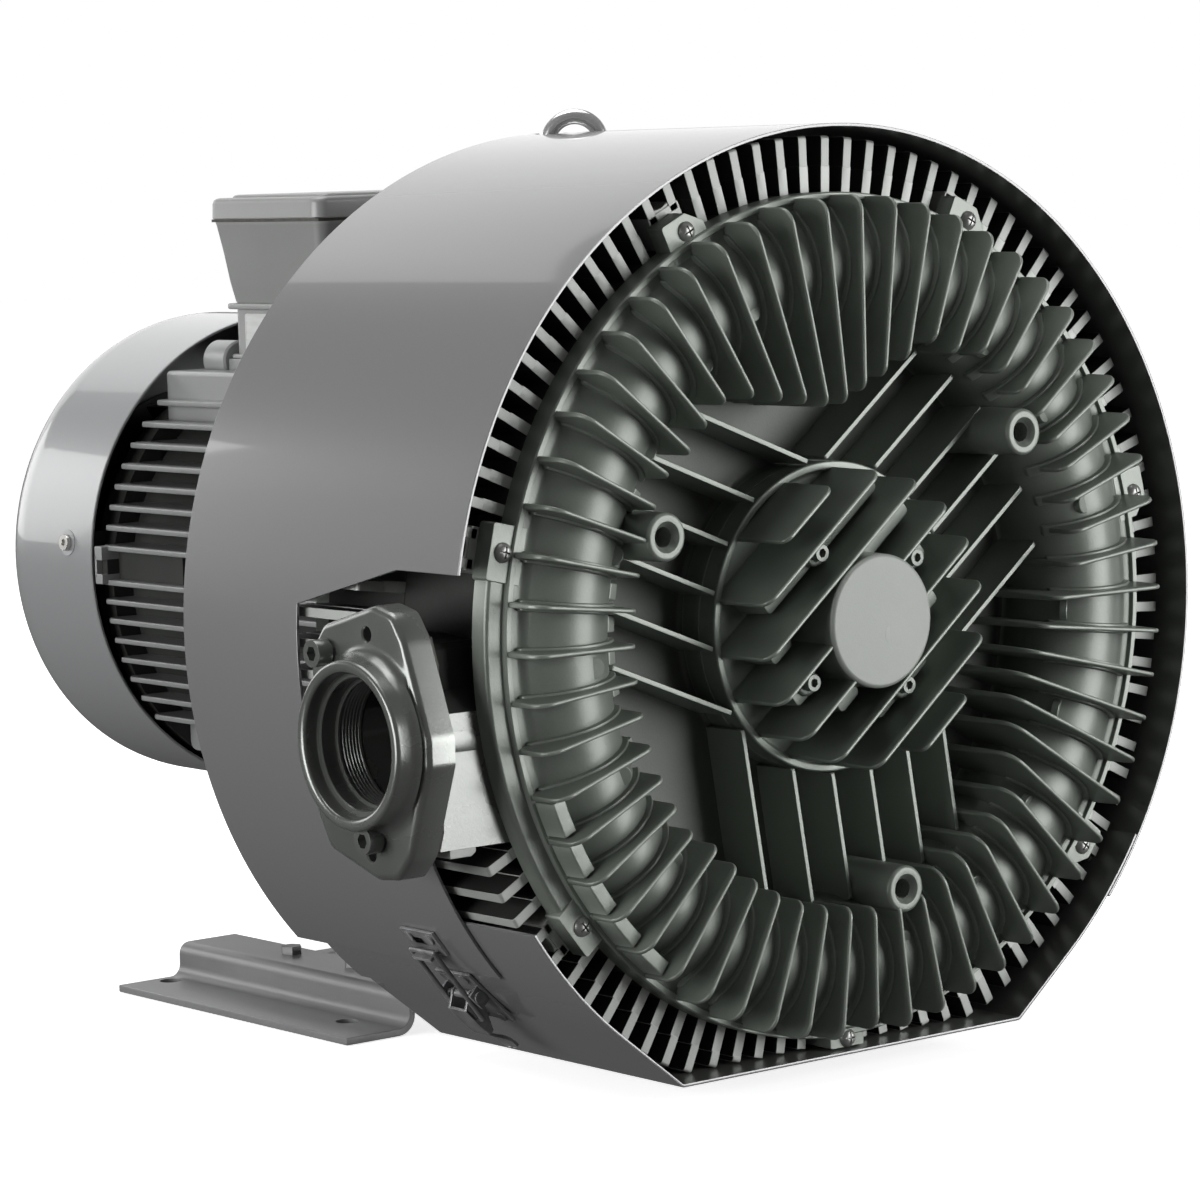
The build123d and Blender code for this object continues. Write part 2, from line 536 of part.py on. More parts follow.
for s in (-1, 1):
    leg = Pos(P2[0], s * 11.3, P2[1]) * Rot(0, -ang, 0) * (Pos(leg_len / 2, 0, 0) * Rot(0, 90, 0) * Cylinder(1.6, leg_len))
    bail = bail + leg + (lcyl_y(1.6, 7.2, 11.3, *P2) if s > 0 else lcyl_y(1.6, -11.3, -7.2, *P2))
    bail = bail + Pos(HOOKBAR[0], s * 11.3, HOOKBAR[1]) * Sphere(1.6) + Pos(P2[0], s * 11.3, P2[1]) * Sphere(1.6)
put(PB * bail, "latch_bail")

# ---------------------------------------------------------------- eye bolt
eye = Pos(0, EYE_Y, 270.1) * Cylinder(12.5, 6.0, align=(Align.CENTER, Align.CENTER, Align.MIN))
eye = eye + Pos(0, EYE_Y, 276.0) * Cone(11.5, 6.5, 3.0, align=(Align.CENTER, Align.CENTER, Align.MIN))
eye = eye + Pos(0, EYE_Y, 292.5) * Rot(0, 0, -39) * Rot(90, 0, 0) * Torus(17.5, 5.0)
eye = eye + Pos(0, EYE_Y, 253.5) * Cylinder(5.0, 17.5, align=(Align.CENTER, Align.CENTER, Align.MIN))
put(eye, "eye_bolt")

# -------------------------------------------------------------------- base
FOOT_Y0, FOOT_Y1 = 314.0, 585.0
T_FOOT = 5.0


def foot_profile():
    # left foot, x negative outwards; bottom face on the floor
    zf = -AXIS_HEIGHT
    l = [
        Line((-161.0, zf), (-118.0, zf)),
        ThreePointArc((-118.0, zf), (-118.0 + 13.0 * c45, zf + 13.0 * (1 - c45)), (-105.0, zf + 13.0)),
        Line((-105.0, zf + 13.0), (-105.0, -265.0)),
        ThreePointArc((-105.0, -265.0), (-105.0 + 3.0 * (1 - c45), -265.0 + 3.0 * c45), (-102.0, -262.0)),
        Line((-102.0, -262.0), (-62.0, -262.0)),
        Line((-62.0, -262.0), (-62.0, -257.0)),
        Line((-62.0, -257.0), (-102.0, -257.0)),
        ThreePointArc((-102.0, -257.0), (-102.0 - 8.0 * c45, -265.0 + 8.0 * c45), (-110.0, -265.0)),
        Line((-110.0, -265.0), (-110.0, zf + 13.0)),
        ThreePointArc((-110.0, zf + 13.0), (-118.0 + 8.0 * c45, zf + 13.0 - 8.0 * c45), (-118.0, zf + 5.0)),
        Line((-118.0, zf + 5.0), (-161.0, zf + 5.0)),
        Line((-161.0, zf + 5.0), (-161.0, zf)),
    ]
    return make_face(l)


foot = slab(foot_profile(), FOOT_Y0, FOOT_Y1)
for y in (FEET_CENTRE_Y - FOOT_HOLE_Y / 2, FEET_CENTRE_Y + FOOT_HOLE_Y / 2):
    foot = foot - Pos(-FOOT_HOLE_X / 2, y, -AXIS_HEIGHT) * Cylinder(FOOT_HOLE_D / 2, 30)
BASE_PTS = [(-80.0, 345.0), (-80.0, 415.0), (-80.0, 490.0)]
for x, y in BASE_PTS:
    foot = foot - Pos(x, y, -260) * Cylinder(4.2, 30)
put(foot, "foot_left")
put(mirror(foot, Plane.YZ), "foot_right")
plate = box(-101.0, 101.0, 244.0, 510.0, -267.1, -262.1)
for x, y in BASE_PTS + [(-p[0], p[1]) for p in BASE_PTS]:
    plate = plate - Pos(x, y, -265) * Cylinder(4.2, 30)
for x, y in FOOT_BOLT_PTS:
    plate = plate - Pos(x, y, -265) * Cylinder(4.3, 30)
plate = plate - box(-40, 40, 330, 470, -280, -255)
put(plate, "base_plate")


def hex_bolt(af, head_h, r, length):
    """Head up at z 0..head_h, shank below."""
    return extrude(RegularPolygon(af / math.sqrt(3), 6), amount=head_h) + Pos(0, 0, -length) * Cylinder(r, length, align=(Align.CENTER, Align.CENTER, Align.MIN))


bb = []
for x, y in BASE_PTS + [(-p[0], p[1]) for p in BASE_PTS]:
    b = Pos(x, y, -256.9) * hex_bolt(13.0, 5.3, 4.0, 17.0)
    nut = Pos(x, y, -273.8) * (extrude(RegularPolygon(13.0 / math.sqrt(3), 6), amount=6.6))
    bb.append(b + nut)
put(solids(bb), "foot_bolts")
put(solids([Pos(x, y, -267.2) * Rot(180, 0, 0) * hex_bolt(13.0, 5.3, 4.0, 16.5) for x, y in FOOT_BOLT_PTS]), "casing_foot_bolts")

# ------------------------------------------------------------------- motor
sk = Circle(FRAME_R)
mf = []
for z in MOTOR_FIN_Z:
    w = math.sqrt(160.5 ** 2 - (z - FIN_RISE) ** 2)
    mf.append(Pos(0, z) * Rectangle(2 * w, 3.2))
for k in range(-6, 7):
    x = 15.0 * k
    mf.append(Pos(x, -(math.sqrt(152.0 ** 2 - x * x)) / 2) * Rectangle(3.2, math.sqrt(152.0 ** 2 - x * x)))
mf.append(Pos(0, 124.0) * Rectangle(200.0, 40.0))
sk = sk + mf
sk = sk - Circle(FRAME_BORE)
frame = slab(sk, FRAME_Y0 + 0.1, FRAME_Y1)
frame = frame + ring(160.0, FRAME_BORE, FRAME_Y0 + 0.1, FRAME_Y0 + 16.0)
frame = frame + box(-74.0, 74.0, 425.0, 560.0, 140.0, 152.0)
frame = frame - cyl(FRAME_BORE, 200, 600)
COWL_ANG = [175.0, 85.0, -5.0, -95.0]
for a in (175.0, -5.0):
    frame = frame + at(a, box(140.0, 160.0, 560.0, FRAME_Y1, -15.0, 15.0) - box(150.0, 170.0, 550.0, FRAME_Y1 - 5.0, -9.0, 9.0))
frame = frame + cyl(14.0, 549.0, 576.0, x=-64.0, z=150.0) - cyl(FRAME_BORE, 200, 600)
frame = frame - box(-45, 45, 450, 530, 100, 160)
for a in MOTOR_BOLT_ANG:
    frame = frame - at(a, cyl(5.5, 230, 262, x=145.0)) - at(a, cyl(9.5, FRAME_Y0 + 16.0, 272, x=145.0))
put(frame, "motor_frame")
put(solids([at(a, Pos(145.0, FRAME_Y0 + 16.1, 0) * Rot(0, 0, 180) * cap_screw(8.0, 9.0, 5.0, 36.0, 4.6)) for a in MOTOR_BOLT_ANG]), "motor_flange_screws")

# stator
st = Circle(FRAME_BORE - 0.1) - Circle(80.0)
slots = []
for k in range(36):
    slots.append(Rot(0, 0, 10 * k) * Pos(91.0, 0) * Rectangle(24.0, 6.0))
st = st - slots
put(slab(st, 310.0, 490.0), "stator_core")
wind = []
for k in range(36):
    wind.append(Rot(0, 0, 10 * k) * Pos(92.5, 0) * Rectangle(19.0, 5.0))
wsk = Sketch() + wind
w = slab(wsk, 300.0, 500.0)
w1 = rev(prof((84.0, 286.0), (104.0, 286.0), (110.0, 292.0), (110.0, 309.0), (82.0, 309.0), (82.0, 290.0)))
w2 = rev(prof((84.0, 514.0), (104.0, 514.0), (110.0, 508.0), (110.0, 491.0), (82.0, 491.0), (82.0, 510.0)))
put(w + w1 + w2, "stator_winding")

# non-drive-end shield with four pads for the cowl screws
nde = rev(prof((30.0, 600.5), (30.0, 604.5), (36.0, 604.5), (60.0, 604.5), (66.0, 600.0), (150.0, 600.0), (150.0, FRAME_Y1 + 0.1), (FRAME_BORE - 0.1, FRAME_Y1 + 0.1), (FRAME_BORE - 0.1, 580.0), (121.0, 580.0), (121.0, 590.0), (60.0, 590.0), (56.0, 580.0), (42.5 + FIT, 580.0), (42.5 + FIT, 600.5)))
for a in COWL_ANG:
    arm = at(a, box(120.0, 164.0, 601.0, 634.0, -9.0, 9.0) - box(110.0, 155.5, 604.5, 640.0, -20.0, 20.0))
    nde = nde + Pos(0, 0, COWL_RISE) * arm + at(a, box(120.0, 150.0, 598.0, 604.5, -9.0, 9.0))
nde = nde - cyl(FRAME_BORE - 0.1, 570.0, 580.0) - (cyl(400.0, 588.1, 600.0) - cyl(150.0, 570.0, 640.0))
for a in COWL_ANG:
    nde = nde - Pos(0, 0, COWL_RISE) * at(a, Pos(159.5, 620.0, 0) * Rot(0, 90, 0) * Cylinder(3.15, 20))
NDE_BOLT_ANG = [40.0, 140.0, 220.0, 320.0]
for a in NDE_BOLT_ANG:
    nde = nde - at(a, cyl(4.3, 570, 610, x=134.5))
put(nde, "nde_shield")
frame_b = []
put(solids([at(a, Pos(134.5, 600.1, 0) * Rot(0, 0, 180) * cap_screw(6.5, 8.0, 4.0, 11.5, 3.4)) for a in NDE_BOLT_ANG]), "nde_shield_screws")

# fan cowl with a rounded back and an air grille
cowl = rev(prof((0, COWL_Y1), (0, COWL_Y1 - 2.0), (108.0, COWL_Y1 - 6.0), (139.0, COWL_Y1 - 9.2),
                ((COWL_R - 9.3, COWL_Y1 - 16.6), (COWL_R - 2.0, COWL_Y1 - 34.0)), (COWL_R - 2.0, COWL_Y0), (COWL_R, COWL_Y0), (COWL_R, COWL_Y1 - 34.0),
                ((COWL_R - 7.6, COWL_Y1 - 14.9), (140.0, COWL_Y1 - 7.0)), (110.0, COWL_Y1 - 4.0)))
gr = []
for i, rr in enumerate((24.0, 38.0, 52.0, 66.0, 80.0, 94.0)):
    for q in range(4):
        g = slab((Circle(rr + 4.0) - Circle(rr - 4.0)) & wedge(300.0, q * 90 + 8.0, q * 90 + 82.0), COWL_Y1 - 20.0, COWL_Y1 + 10.0)
        gr.append(g)
for g in gr:
    cowl = cowl - g
for a in COWL_ANG:
    cowl = cowl - at(a, Pos(COWL_R, 620.0, 0) * Rot(0, 90, 0) * Cylinder(3.4, 20))
put(Pos(0, 0, COWL_RISE) * cowl, "fan_cowl")
cs = []
for a in COWL_ANG:
    s = Pos(COWL_R + 0.3, 620.0, 0) * Rot(0, 90, 0) * (Cylinder(5.5, 3.6, align=(Align.CENTER, Align.CENTER, Align.MIN)) - extrude(RegularPolygon(2.6, 6), amount=2.2).moved(Location((0, 0, 2.0)))) + Pos(COWL_R - 14.5, 620.0, 0) * Rot(0, 90, 0) * Cylinder(3.0, 15.0, align=(Align.CENTER, Align.CENTER, Align.MIN))
    cs.append(Pos(0, 0, COWL_RISE) * at(a, s))
put(solids(cs), "fan_cowl_screws")

# ------------------------------------------------------------ terminal box
TB_Y0, TB_Y1, TB_X = 426.0, 557.0, 82.0


def tapered(x0, y0, y1, z0, xt, yt0, yt1, z1, inset=0.0):
    b = Pos(0, (y0 + y1) / 2, z0) * Rectangle(2 * (x0 - inset), y1 - y0 - 2 * inset)
    t = Pos(0, (yt0 + yt1) / 2, z1) * Rectangle(2 * (xt - inset), yt1 - yt0 - 2 * inset)
    return loft([b, t])


neck = box(-70.0, 70.0, 437.0, 546.0, 152.1, 186.0) - box(-62.0, 62.0, 445.0, 538.0, 150.0, 190.0) + (box(-74.0, 74.0, 433.0, 550.0, 186.0, 190.0) - box(-60.0, 60.0, 447.0, 536.0, 180.0, 200.0))
put(neck, "terminal_box_neck")
body = tapered(71.0, 437.0, 546.0, 190.1, TB_X - 1.5, TB_Y0 + 1.5, TB_Y1 - 1.5, 246.0) - tapered(71.0, 437.0, 546.0, 194.0, TB_X - 1.5, TB_Y0 + 1.5, TB_Y1 - 1.5, 246.2, inset=3.5)
body = body - box(-40, 40, 460, 522, 180, 200)
for y in (468.0, 512.0):
    body = body - Pos(78, y, 220) * Rot(0, 90, 0) * Cylinder(12.6, 40)
for x in (-72, 72):
    for y in (TB_Y0 + 9.5, TB_Y1 - 9.5):
        body = body + (Pos(x, y, 205) * Cylinder(6.0, 41.0, align=(Align.CENTER, Align.CENTER, Align.MIN))).intersect(box(-TB_X + 2, TB_X - 2, TB_Y0 + 2, TB_Y1 - 2, 214, 246)) if False else body + box(x - 5.0, x + 5.0, y - 5.0, y + 5.0, 226.0, 246.0)
        body = body - Pos(x, y, 240) * Cylinder(2.6, 30)
put(body, "terminal_box_body")
lg = box(-TB_X + 2, TB_X - 2, TB_Y0 + 2, TB_Y1 - 2, 246.1, 248.0) - box(-TB_X + 6.5, TB_X - 6.5, TB_Y0 + 6.5, TB_Y1 - 6.5, 240, 250)
for x in (-72, 72):
    for y in (TB_Y0 + 9.5, TB_Y1 - 9.5):
        lg = lg + box(x - 5.0, x + 5.0, y - 5.0, y + 5.0, 246.1, 248.0)
        lg = lg - Pos(x, y, 240) * Cylinder(2.8, 30)
put(lg, "terminal_box_gasket")
lid = box(-TB_X, TB_X, TB_Y0, TB_Y1, 248.1, 262.5)
lid = fillet(lid.edges().filter_by(Axis.Z), 4.0)
lid = lid + box(-TB_X + 12, TB_X - 12, TB_Y0 + 12, TB_Y1 - 12, 262.0, 264.5)
lid = lid - box(-TB_X + 14, TB_X - 14, TB_Y0 + 14, TB_Y1 - 14, 245.0, 259.5)
for x in (-72, 72):
    for y in (TB_Y0 + 9.5, TB_Y1 - 9.5):
        lid = lid - Pos(x, y, 250) * Cylinder(2.9, 60) - Pos(x, y, 259.0) * Cylinder(5.6, 20, align=(Align.CENTER, Align.CENTER, Align.MIN))
put(lid, "terminal_box_lid")
ls = []
for x in (-72, 72):
    for y in (TB_Y0 + 9.5, TB_Y1 - 9.5):
        ls.append(Pos(x, y, 259.0) * Rot(-90, 0, 0) * Rot(0, 0, 0) * pan_screw(4.8, 3.2, 2.4, 0.0, 26.0, 0.0))
put(solids(ls), "terminal_box_screws")
put(box(-36.0, 36.0, 462.0, 520.0, 194.3, 206.0) - box(-28.0, 28.0, 470.0, 512.0, 203.0, 210.0), "terminal_board")
tst = []
for i in (-1, 0, 1):
    for y in (479.0, 503.0):
        tst.append(Pos(18.0 * i, y, 203.1) * (Cylinder(2.5, 18.0, align=(Align.CENTER, Align.CENTER, Align.MIN)) + extrude(RegularPolygon(5.0, 6), amount=4.0) + Pos(0, 0, 4.5) * extrude(RegularPolygon(5.0, 6), amount=4.0)))
tst = [t + Pos(0, 0, 0) * (Pos(t.center().X, t.center().Y, 203.1) * Cylinder(2.5, 6.0, align=(Align.CENTER, Align.CENTER, Align.MIN))) for t in tst]
put(solids([t.intersect(box(-60, 60, 450, 530, 203.1, 240)) if False else t for t in tst]), "terminal_studs")
cg = []
for y in (468.0, 512.0):
    g = Pos(68.0, y, 220) * Rot(0, 90, 0) * Cylinder(12.3, 16.0, align=(Align.CENTER, Align.CENTER, Align.MIN)) + Pos(79.8, y, 220) * Rot(0, 90, 0) * extrude(RegularPolygon(17.0, 6), amount=8.0)
    g = g - Pos(84.5, y, 220) * Rot(0, 90, 0) * extrude(RegularPolygon(6.0, 6), amount=6.0)
    cg.append(g)
put(solids(cg), "cable_entry_plugs")
put(box(-71.2, -70.1, 450.0, 532.0, 156.0, 183.0) - Pos(-70, 454, 169.5) * Rot(0, 90, 0) * Cylinder(1.3, 10) - Pos(-70, 528, 169.5) * Rot(0, 90, 0) * Cylinder(1.3, 10), "rating_plate")

# ------------------------------------------------------------- shaft line
shaft = rev(prof((0, -23.0), (SH_FRONT - 1, -23.0), (SH_FRONT, -22.0), (SH_FRONT, 30.0), (SH_MAIN, 30.0), (SH_MAIN, 160.0), (SH_DE, 160.0), (SH_DE, 262.0), (SH_CORE, 262.0), (SH_CORE, 545.0), (22.5, 545.0), (22.5, 604.0), (19.0, 604.0), (19.0, 668.0), (18.0, 669.0), (0, 669.0)))
put(shaft, "shaft")


def bearing(y0, bore, od, width, nballs):
    rb = (od - bore) / 2
    rm = (od + bore) / 4 * 1.0
    rm = (bore / 2 + od / 2) / 2
    br = (od / 2 - bore / 2) * 0.29
    ri, ro = bore / 2 + FIT, od / 2
    ym = y0 + width / 2
    gap = (ro - ri)
    r1 = ri + gap * 0.3
    r2 = ro - gap * 0.3
    outer = ring(ro, r2, y0, y0 + width) - rev(prof((rm + br * 0.02, ym + br + 0.35), (rm + br + 0.35, ym), (rm + br * 0.02, ym - br - 0.35))) if False else ring(ro, r2, y0, y0 + width)
    tor = Pos(0, ym, 0) * Rot(90, 0, 0) * Torus(rm, br + 0.3)
    outer = outer - tor
    inner = ring(r1, ri, y0, y0 + width) - Pos(0, ym, 0) * Rot(90, 0, 0) * Torus(rm, br + 0.05)
    balls = [Pos(rm * math.cos(2 * math.pi * i / nballs), ym, rm * math.sin(2 * math.pi * i / nballs)) * Sphere(br) for i in range(nballs)]
    return outer, solids([inner] + balls)


o, i = bearing(-23.5, 30.0, 72.0, 19.0, 8)
put(o, "front_bearing_outer")
put(i, "front_bearing_inner")
o, i = bearing(196.0, 45.0, 100.0, 25.0, 8)
put(o, "drive_end_bearing_outer")
put(i, "drive_end_bearing_inner")
o, i = bearing(581.0, 45.0, 85.0, 19.0, 9)
put(o, "rear_bearing_outer")
put(i, "rear_bearing_inner")

put(ring(21.5, SH_FRONT + FIT, -4.4, 29.9), "front_spacer")
put(ring(26.0, SH_MAIN + FIT, 84.1, 2 * Y_SYM - 84.1), "impeller_spacer")


def impeller():
    body = rev(prof((SH_MAIN + FIT, 50.0), (32.0, 50.0), (38.0, 70.0), (178.0, 70.0), (184.0, 54.0), (185.0, 54.0),
                    ((R_MAJOR, 54.0 + 27.5), (243.0, 54.0)), (246.0, 54.0), (246.0, 70.0), ((236.0, 80.0), (R_MAJOR, 84.0)), ((194.0, 81.0), (184.0, 77.0)), (38.0, 77.0), (34.0, 84.0), (SH_MAIN + FIT, 84.0)))
    bl = []
    bf = prof((185.5, 54.0), ((R_MAJOR, 54.0 + 28.5), (242.5, 54.0)))
    blade = Pos(0, 0, -1.25) * extrude(bf, amount=2.5)
    for k in range(48):
        bl.append(at(k * 7.5, blade))
    body = fuse(body, bl)
    for k in range(6):
        body = body - at(30 + 60 * k, cyl(13.0, 60, 90, x=100.0))
    return body


imp = impeller()
put(imp, "front_impeller")
put(Pos(0, Y_SYM, 0) * Rot(0, 0, 180) * Pos(0, -Y_SYM, 0) * imp, "rear_impeller")

put(ring(27.5, SH_DE + 0.3, 178.0, 188.0), "drive_end_seal")
core = rev(prof((SH_CORE + FIT, 310.0), (79.4, 310.0), (79.4, 490.0), (SH_CORE + FIT, 490.0)))
core = core + ring(78.0, 60.0, 302.0, 310.0) + ring(78.0, 60.0, 490.0, 498.0)
put(core, "rotor_core")

# radial cooling fan
fan = rev(prof((SH_MAIN + FIT, 626.0), (32.0, 626.0), (36.0, 640.0), (135.0, 632.0), (135.0, 634.5), (36.0, 644.0), (32.0, 662.0), (SH_MAIN + FIT, 662.0)))
fb = []
for k in range(9):
    fb.append(at(40 * k, box(30.0, 134.0, 634.0, 664.0, -1.5, 1.5)))
fan = fuse(fan, fb)
fan = fan - cyl(SH_MAIN + FIT, 600, 700)
put(fan, "cooling_fan")
put(ring(24.5, SH_MAIN + FIT, 662.2, 664.0), "fan_retaining_ring")
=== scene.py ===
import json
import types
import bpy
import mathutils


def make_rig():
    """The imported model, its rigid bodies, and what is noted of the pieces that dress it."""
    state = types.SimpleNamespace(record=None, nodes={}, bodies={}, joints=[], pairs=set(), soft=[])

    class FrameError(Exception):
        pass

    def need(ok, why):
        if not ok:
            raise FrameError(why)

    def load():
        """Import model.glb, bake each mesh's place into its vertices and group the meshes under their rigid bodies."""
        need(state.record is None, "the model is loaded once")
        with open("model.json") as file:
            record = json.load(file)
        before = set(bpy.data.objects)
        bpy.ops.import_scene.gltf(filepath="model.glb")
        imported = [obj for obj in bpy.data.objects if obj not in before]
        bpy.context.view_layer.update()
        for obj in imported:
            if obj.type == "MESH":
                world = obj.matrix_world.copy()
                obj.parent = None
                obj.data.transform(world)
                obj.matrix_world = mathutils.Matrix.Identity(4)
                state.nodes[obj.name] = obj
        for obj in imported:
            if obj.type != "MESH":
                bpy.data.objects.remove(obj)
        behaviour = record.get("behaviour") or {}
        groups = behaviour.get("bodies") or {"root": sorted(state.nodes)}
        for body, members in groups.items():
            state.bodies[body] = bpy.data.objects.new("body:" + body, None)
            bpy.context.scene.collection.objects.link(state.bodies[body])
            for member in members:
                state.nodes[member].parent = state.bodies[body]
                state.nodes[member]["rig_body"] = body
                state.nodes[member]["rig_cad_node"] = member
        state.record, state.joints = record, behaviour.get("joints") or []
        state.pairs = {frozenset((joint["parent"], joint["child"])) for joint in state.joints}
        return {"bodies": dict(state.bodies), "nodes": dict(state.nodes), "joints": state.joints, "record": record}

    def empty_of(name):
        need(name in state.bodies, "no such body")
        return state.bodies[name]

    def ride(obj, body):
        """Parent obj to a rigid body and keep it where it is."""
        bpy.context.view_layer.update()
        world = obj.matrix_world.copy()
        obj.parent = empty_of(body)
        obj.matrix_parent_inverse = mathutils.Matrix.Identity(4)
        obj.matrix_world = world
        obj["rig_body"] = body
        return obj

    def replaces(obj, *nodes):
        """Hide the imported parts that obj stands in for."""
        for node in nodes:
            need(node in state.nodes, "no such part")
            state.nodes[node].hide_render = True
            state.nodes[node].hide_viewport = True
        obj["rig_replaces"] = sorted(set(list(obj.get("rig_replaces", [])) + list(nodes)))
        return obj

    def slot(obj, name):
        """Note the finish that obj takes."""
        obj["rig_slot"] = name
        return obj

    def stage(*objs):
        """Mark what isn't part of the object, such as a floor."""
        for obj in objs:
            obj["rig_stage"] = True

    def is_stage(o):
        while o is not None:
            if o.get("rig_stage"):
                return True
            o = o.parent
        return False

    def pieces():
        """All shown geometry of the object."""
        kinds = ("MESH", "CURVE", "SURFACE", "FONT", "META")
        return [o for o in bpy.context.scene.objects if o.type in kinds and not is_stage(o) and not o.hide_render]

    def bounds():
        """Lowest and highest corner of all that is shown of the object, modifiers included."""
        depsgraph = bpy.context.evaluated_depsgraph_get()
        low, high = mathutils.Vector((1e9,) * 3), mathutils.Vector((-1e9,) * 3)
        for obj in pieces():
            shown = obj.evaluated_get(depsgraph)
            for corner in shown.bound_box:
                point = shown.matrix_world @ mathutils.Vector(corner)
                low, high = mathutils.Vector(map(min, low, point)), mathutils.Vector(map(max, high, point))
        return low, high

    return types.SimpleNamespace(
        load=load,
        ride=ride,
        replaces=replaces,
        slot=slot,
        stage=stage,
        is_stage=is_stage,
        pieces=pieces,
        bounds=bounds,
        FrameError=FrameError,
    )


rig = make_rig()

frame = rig.load()
CAD_BOX = [list(map(float, c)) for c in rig.bounds()]

import bpy, bmesh, math, json
from mathutils import Vector, Matrix

# ---------------------------------------------------------------- frame
# Pieces are worked out in millimetres in a shaft frame (shaft along Y, y = 0 at
# the front edge of the shroud, shaft centre at x = z = 0) and placed in the
# CAD's own frame when the mesh is written.
FEET_Y, AXIS_Z = 466.0, 285.0
rad, cos, sin, sqrt, pi = math.radians, math.cos, math.sin, math.sqrt, math.pi


def place(p):
    return (p[0] * 0.001, (p[1] - FEET_Y) * 0.001, (p[2] + AXIS_Z) * 0.001)


def turn(theta):
    """+X side to the angle theta round the shaft."""
    c, s = cos(rad(theta)), sin(rad(theta))
    return Matrix(((c, 0, -s, 0), (0, 1, 0, 0), (s, 0, c, 0), (0, 0, 0, 1)))


def shift(x, y, z):
    return Matrix.Translation((x, y, z))


def pol(r, th):
    return r * cos(rad(th)), r * sin(rad(th))


# ---------------------------------------------------------------- 2D helpers
def arc(cx, cy, r, a0, a1, n):
    return [(cx + r * cos(rad(a0 + (a1 - a0) * i / n)), cy + r * sin(rad(a0 + (a1 - a0) * i / n))) for i in range(n + 1)]


def fil(pts, r, n=5):
    """Round the corners of a closed polygon; r is one radius or one per corner."""
    out = []
    m = len(pts)
    for i, p in enumerate(pts):
        rr = r[i] if isinstance(r, (list, tuple)) else r
        if rr <= 0:
            out.append(p)
            continue
        a, b = Vector(pts[i - 1]), Vector(pts[(i + 1) % m])
        q = Vector(p)
        u, v = (a - q), (b - q)
        lu, lv = u.length, v.length
        if lu < 1e-6 or lv < 1e-6:
            continue
        u /= lu
        v /= lv
        ang = math.acos(max(-1, min(1, u.dot(v))))
        if ang > pi - 0.02 or ang < 0.02:
            out.append(p)
            continue
        d = min(rr / math.tan(ang / 2), 0.49 * lu, 0.49 * lv)
        rr2 = d * math.tan(ang / 2)
        c = q + (u + v).normalized() * (rr2 / sin(ang / 2))
        s0, s1 = q + u * d, q + v * d
        a0 = math.atan2(s0.y - c.y, s0.x - c.x)
        a1 = math.atan2(s1.y - c.y, s1.x - c.x)
        while a1 - a0 > pi:
            a1 -= 2 * pi
        while a1 - a0 < -pi:
            a1 += 2 * pi
        for k in range(n + 1):
            t = a0 + (a1 - a0) * k / n
            out.append((c.x + rr2 * cos(t), c.y + rr2 * sin(t)))
    return out


# ---------------------------------------------------------------- shells
def cook(v, f, w=0.0, seg=2, ang=28.0, prof=0.5):
    """Closed shell: merged, turned outwards, its sharp edges rounded by w."""
    bm = bmesh.new()
    bv = [bm.verts.new(p) for p in v]
    for q in f:
        try:
            bm.faces.new([bv[i] for i in q])
        except ValueError:
            pass
    bmesh.ops.remove_doubles(bm, verts=bm.verts, dist=1e-3)
    bmesh.ops.dissolve_degenerate(bm, dist=1e-4, edges=bm.edges)
    bmesh.ops.recalc_face_normals(bm, faces=bm.faces)
    if w > 0:
        ed = [e for e in bm.edges if len(e.link_faces) == 2 and e.calc_face_angle(0.0) > rad(ang)]
        if ed:
            bmesh.ops.bevel(bm, geom=ed, offset=w, offset_type='OFFSET', profile_type='SUPERELLIPSE', segments=seg, profile=prof, affect='EDGES', clamp_overlap=True, loop_slide=True)
    bm.verts.index_update()
    out = ([x.co.copy() for x in bm.verts], [tuple(x.index for x in q.verts) for q in bm.faces])
    bm.free()
    return out


def lathe(prof, n=224, a0=0.0, a1=360.0, w=0.0, seg=2):
    """Closed (r, y) outline turned round the shaft axis."""
    m = len(prof)
    full = abs(a1 - a0) >= 359.99
    k = n if full else n + 1
    v, f = [], []
    for i in range(k):
        c, s = cos(rad(a0 + (a1 - a0) * i / n)), sin(rad(a0 + (a1 - a0) * i / n))
        v += [(r * c, y, r * s) for r, y in prof]
    for i in range(n):
        j = (i + 1) % k
        for q in range(m):
            p = (q + 1) % m
            f.append((i * m + q, i * m + p, j * m + p, j * m + q))
    if not full:
        f.append(tuple(range(m)))
        f.append(tuple(range((k - 1) * m, k * m)))
    return cook(v, f, w, seg)


def loft(loops, w=0.0, seg=2, ang=28.0):
    """Closed shell through loops of equal length, with end caps."""
    m = len(loops[0])
    v = [p for lp in loops for p in lp]
    f = [tuple(range(m)), tuple(range((len(loops) - 1) * m, len(loops) * m))]
    for i in range(len(loops) - 1):
        for q in range(m):
            p = (q + 1) % m
            f.append((i * m + q, i * m + p, (i + 1) * m + p, (i + 1) * m + q))
    return cook(v, f, w, seg, ang)


def slab(poly, y0, y1, w=0.0, seg=2, poly1=None, ang=28.0):
    """(x, z) outline stretched from y0 to y1."""
    return loft([[(x, y0, z) for x, z in poly], [(x, y1, z) for x, z in (poly1 or poly)]], w, seg, ang)


def lift(poly, z0, z1, w=0.0, seg=2, poly1=None, ang=28.0):
    """(x, y) outline stretched from z0 to z1."""
    return loft([[(x, y, z0) for x, y in poly], [(x, y, z1) for x, y in (poly1 or poly)]], w, seg, ang)


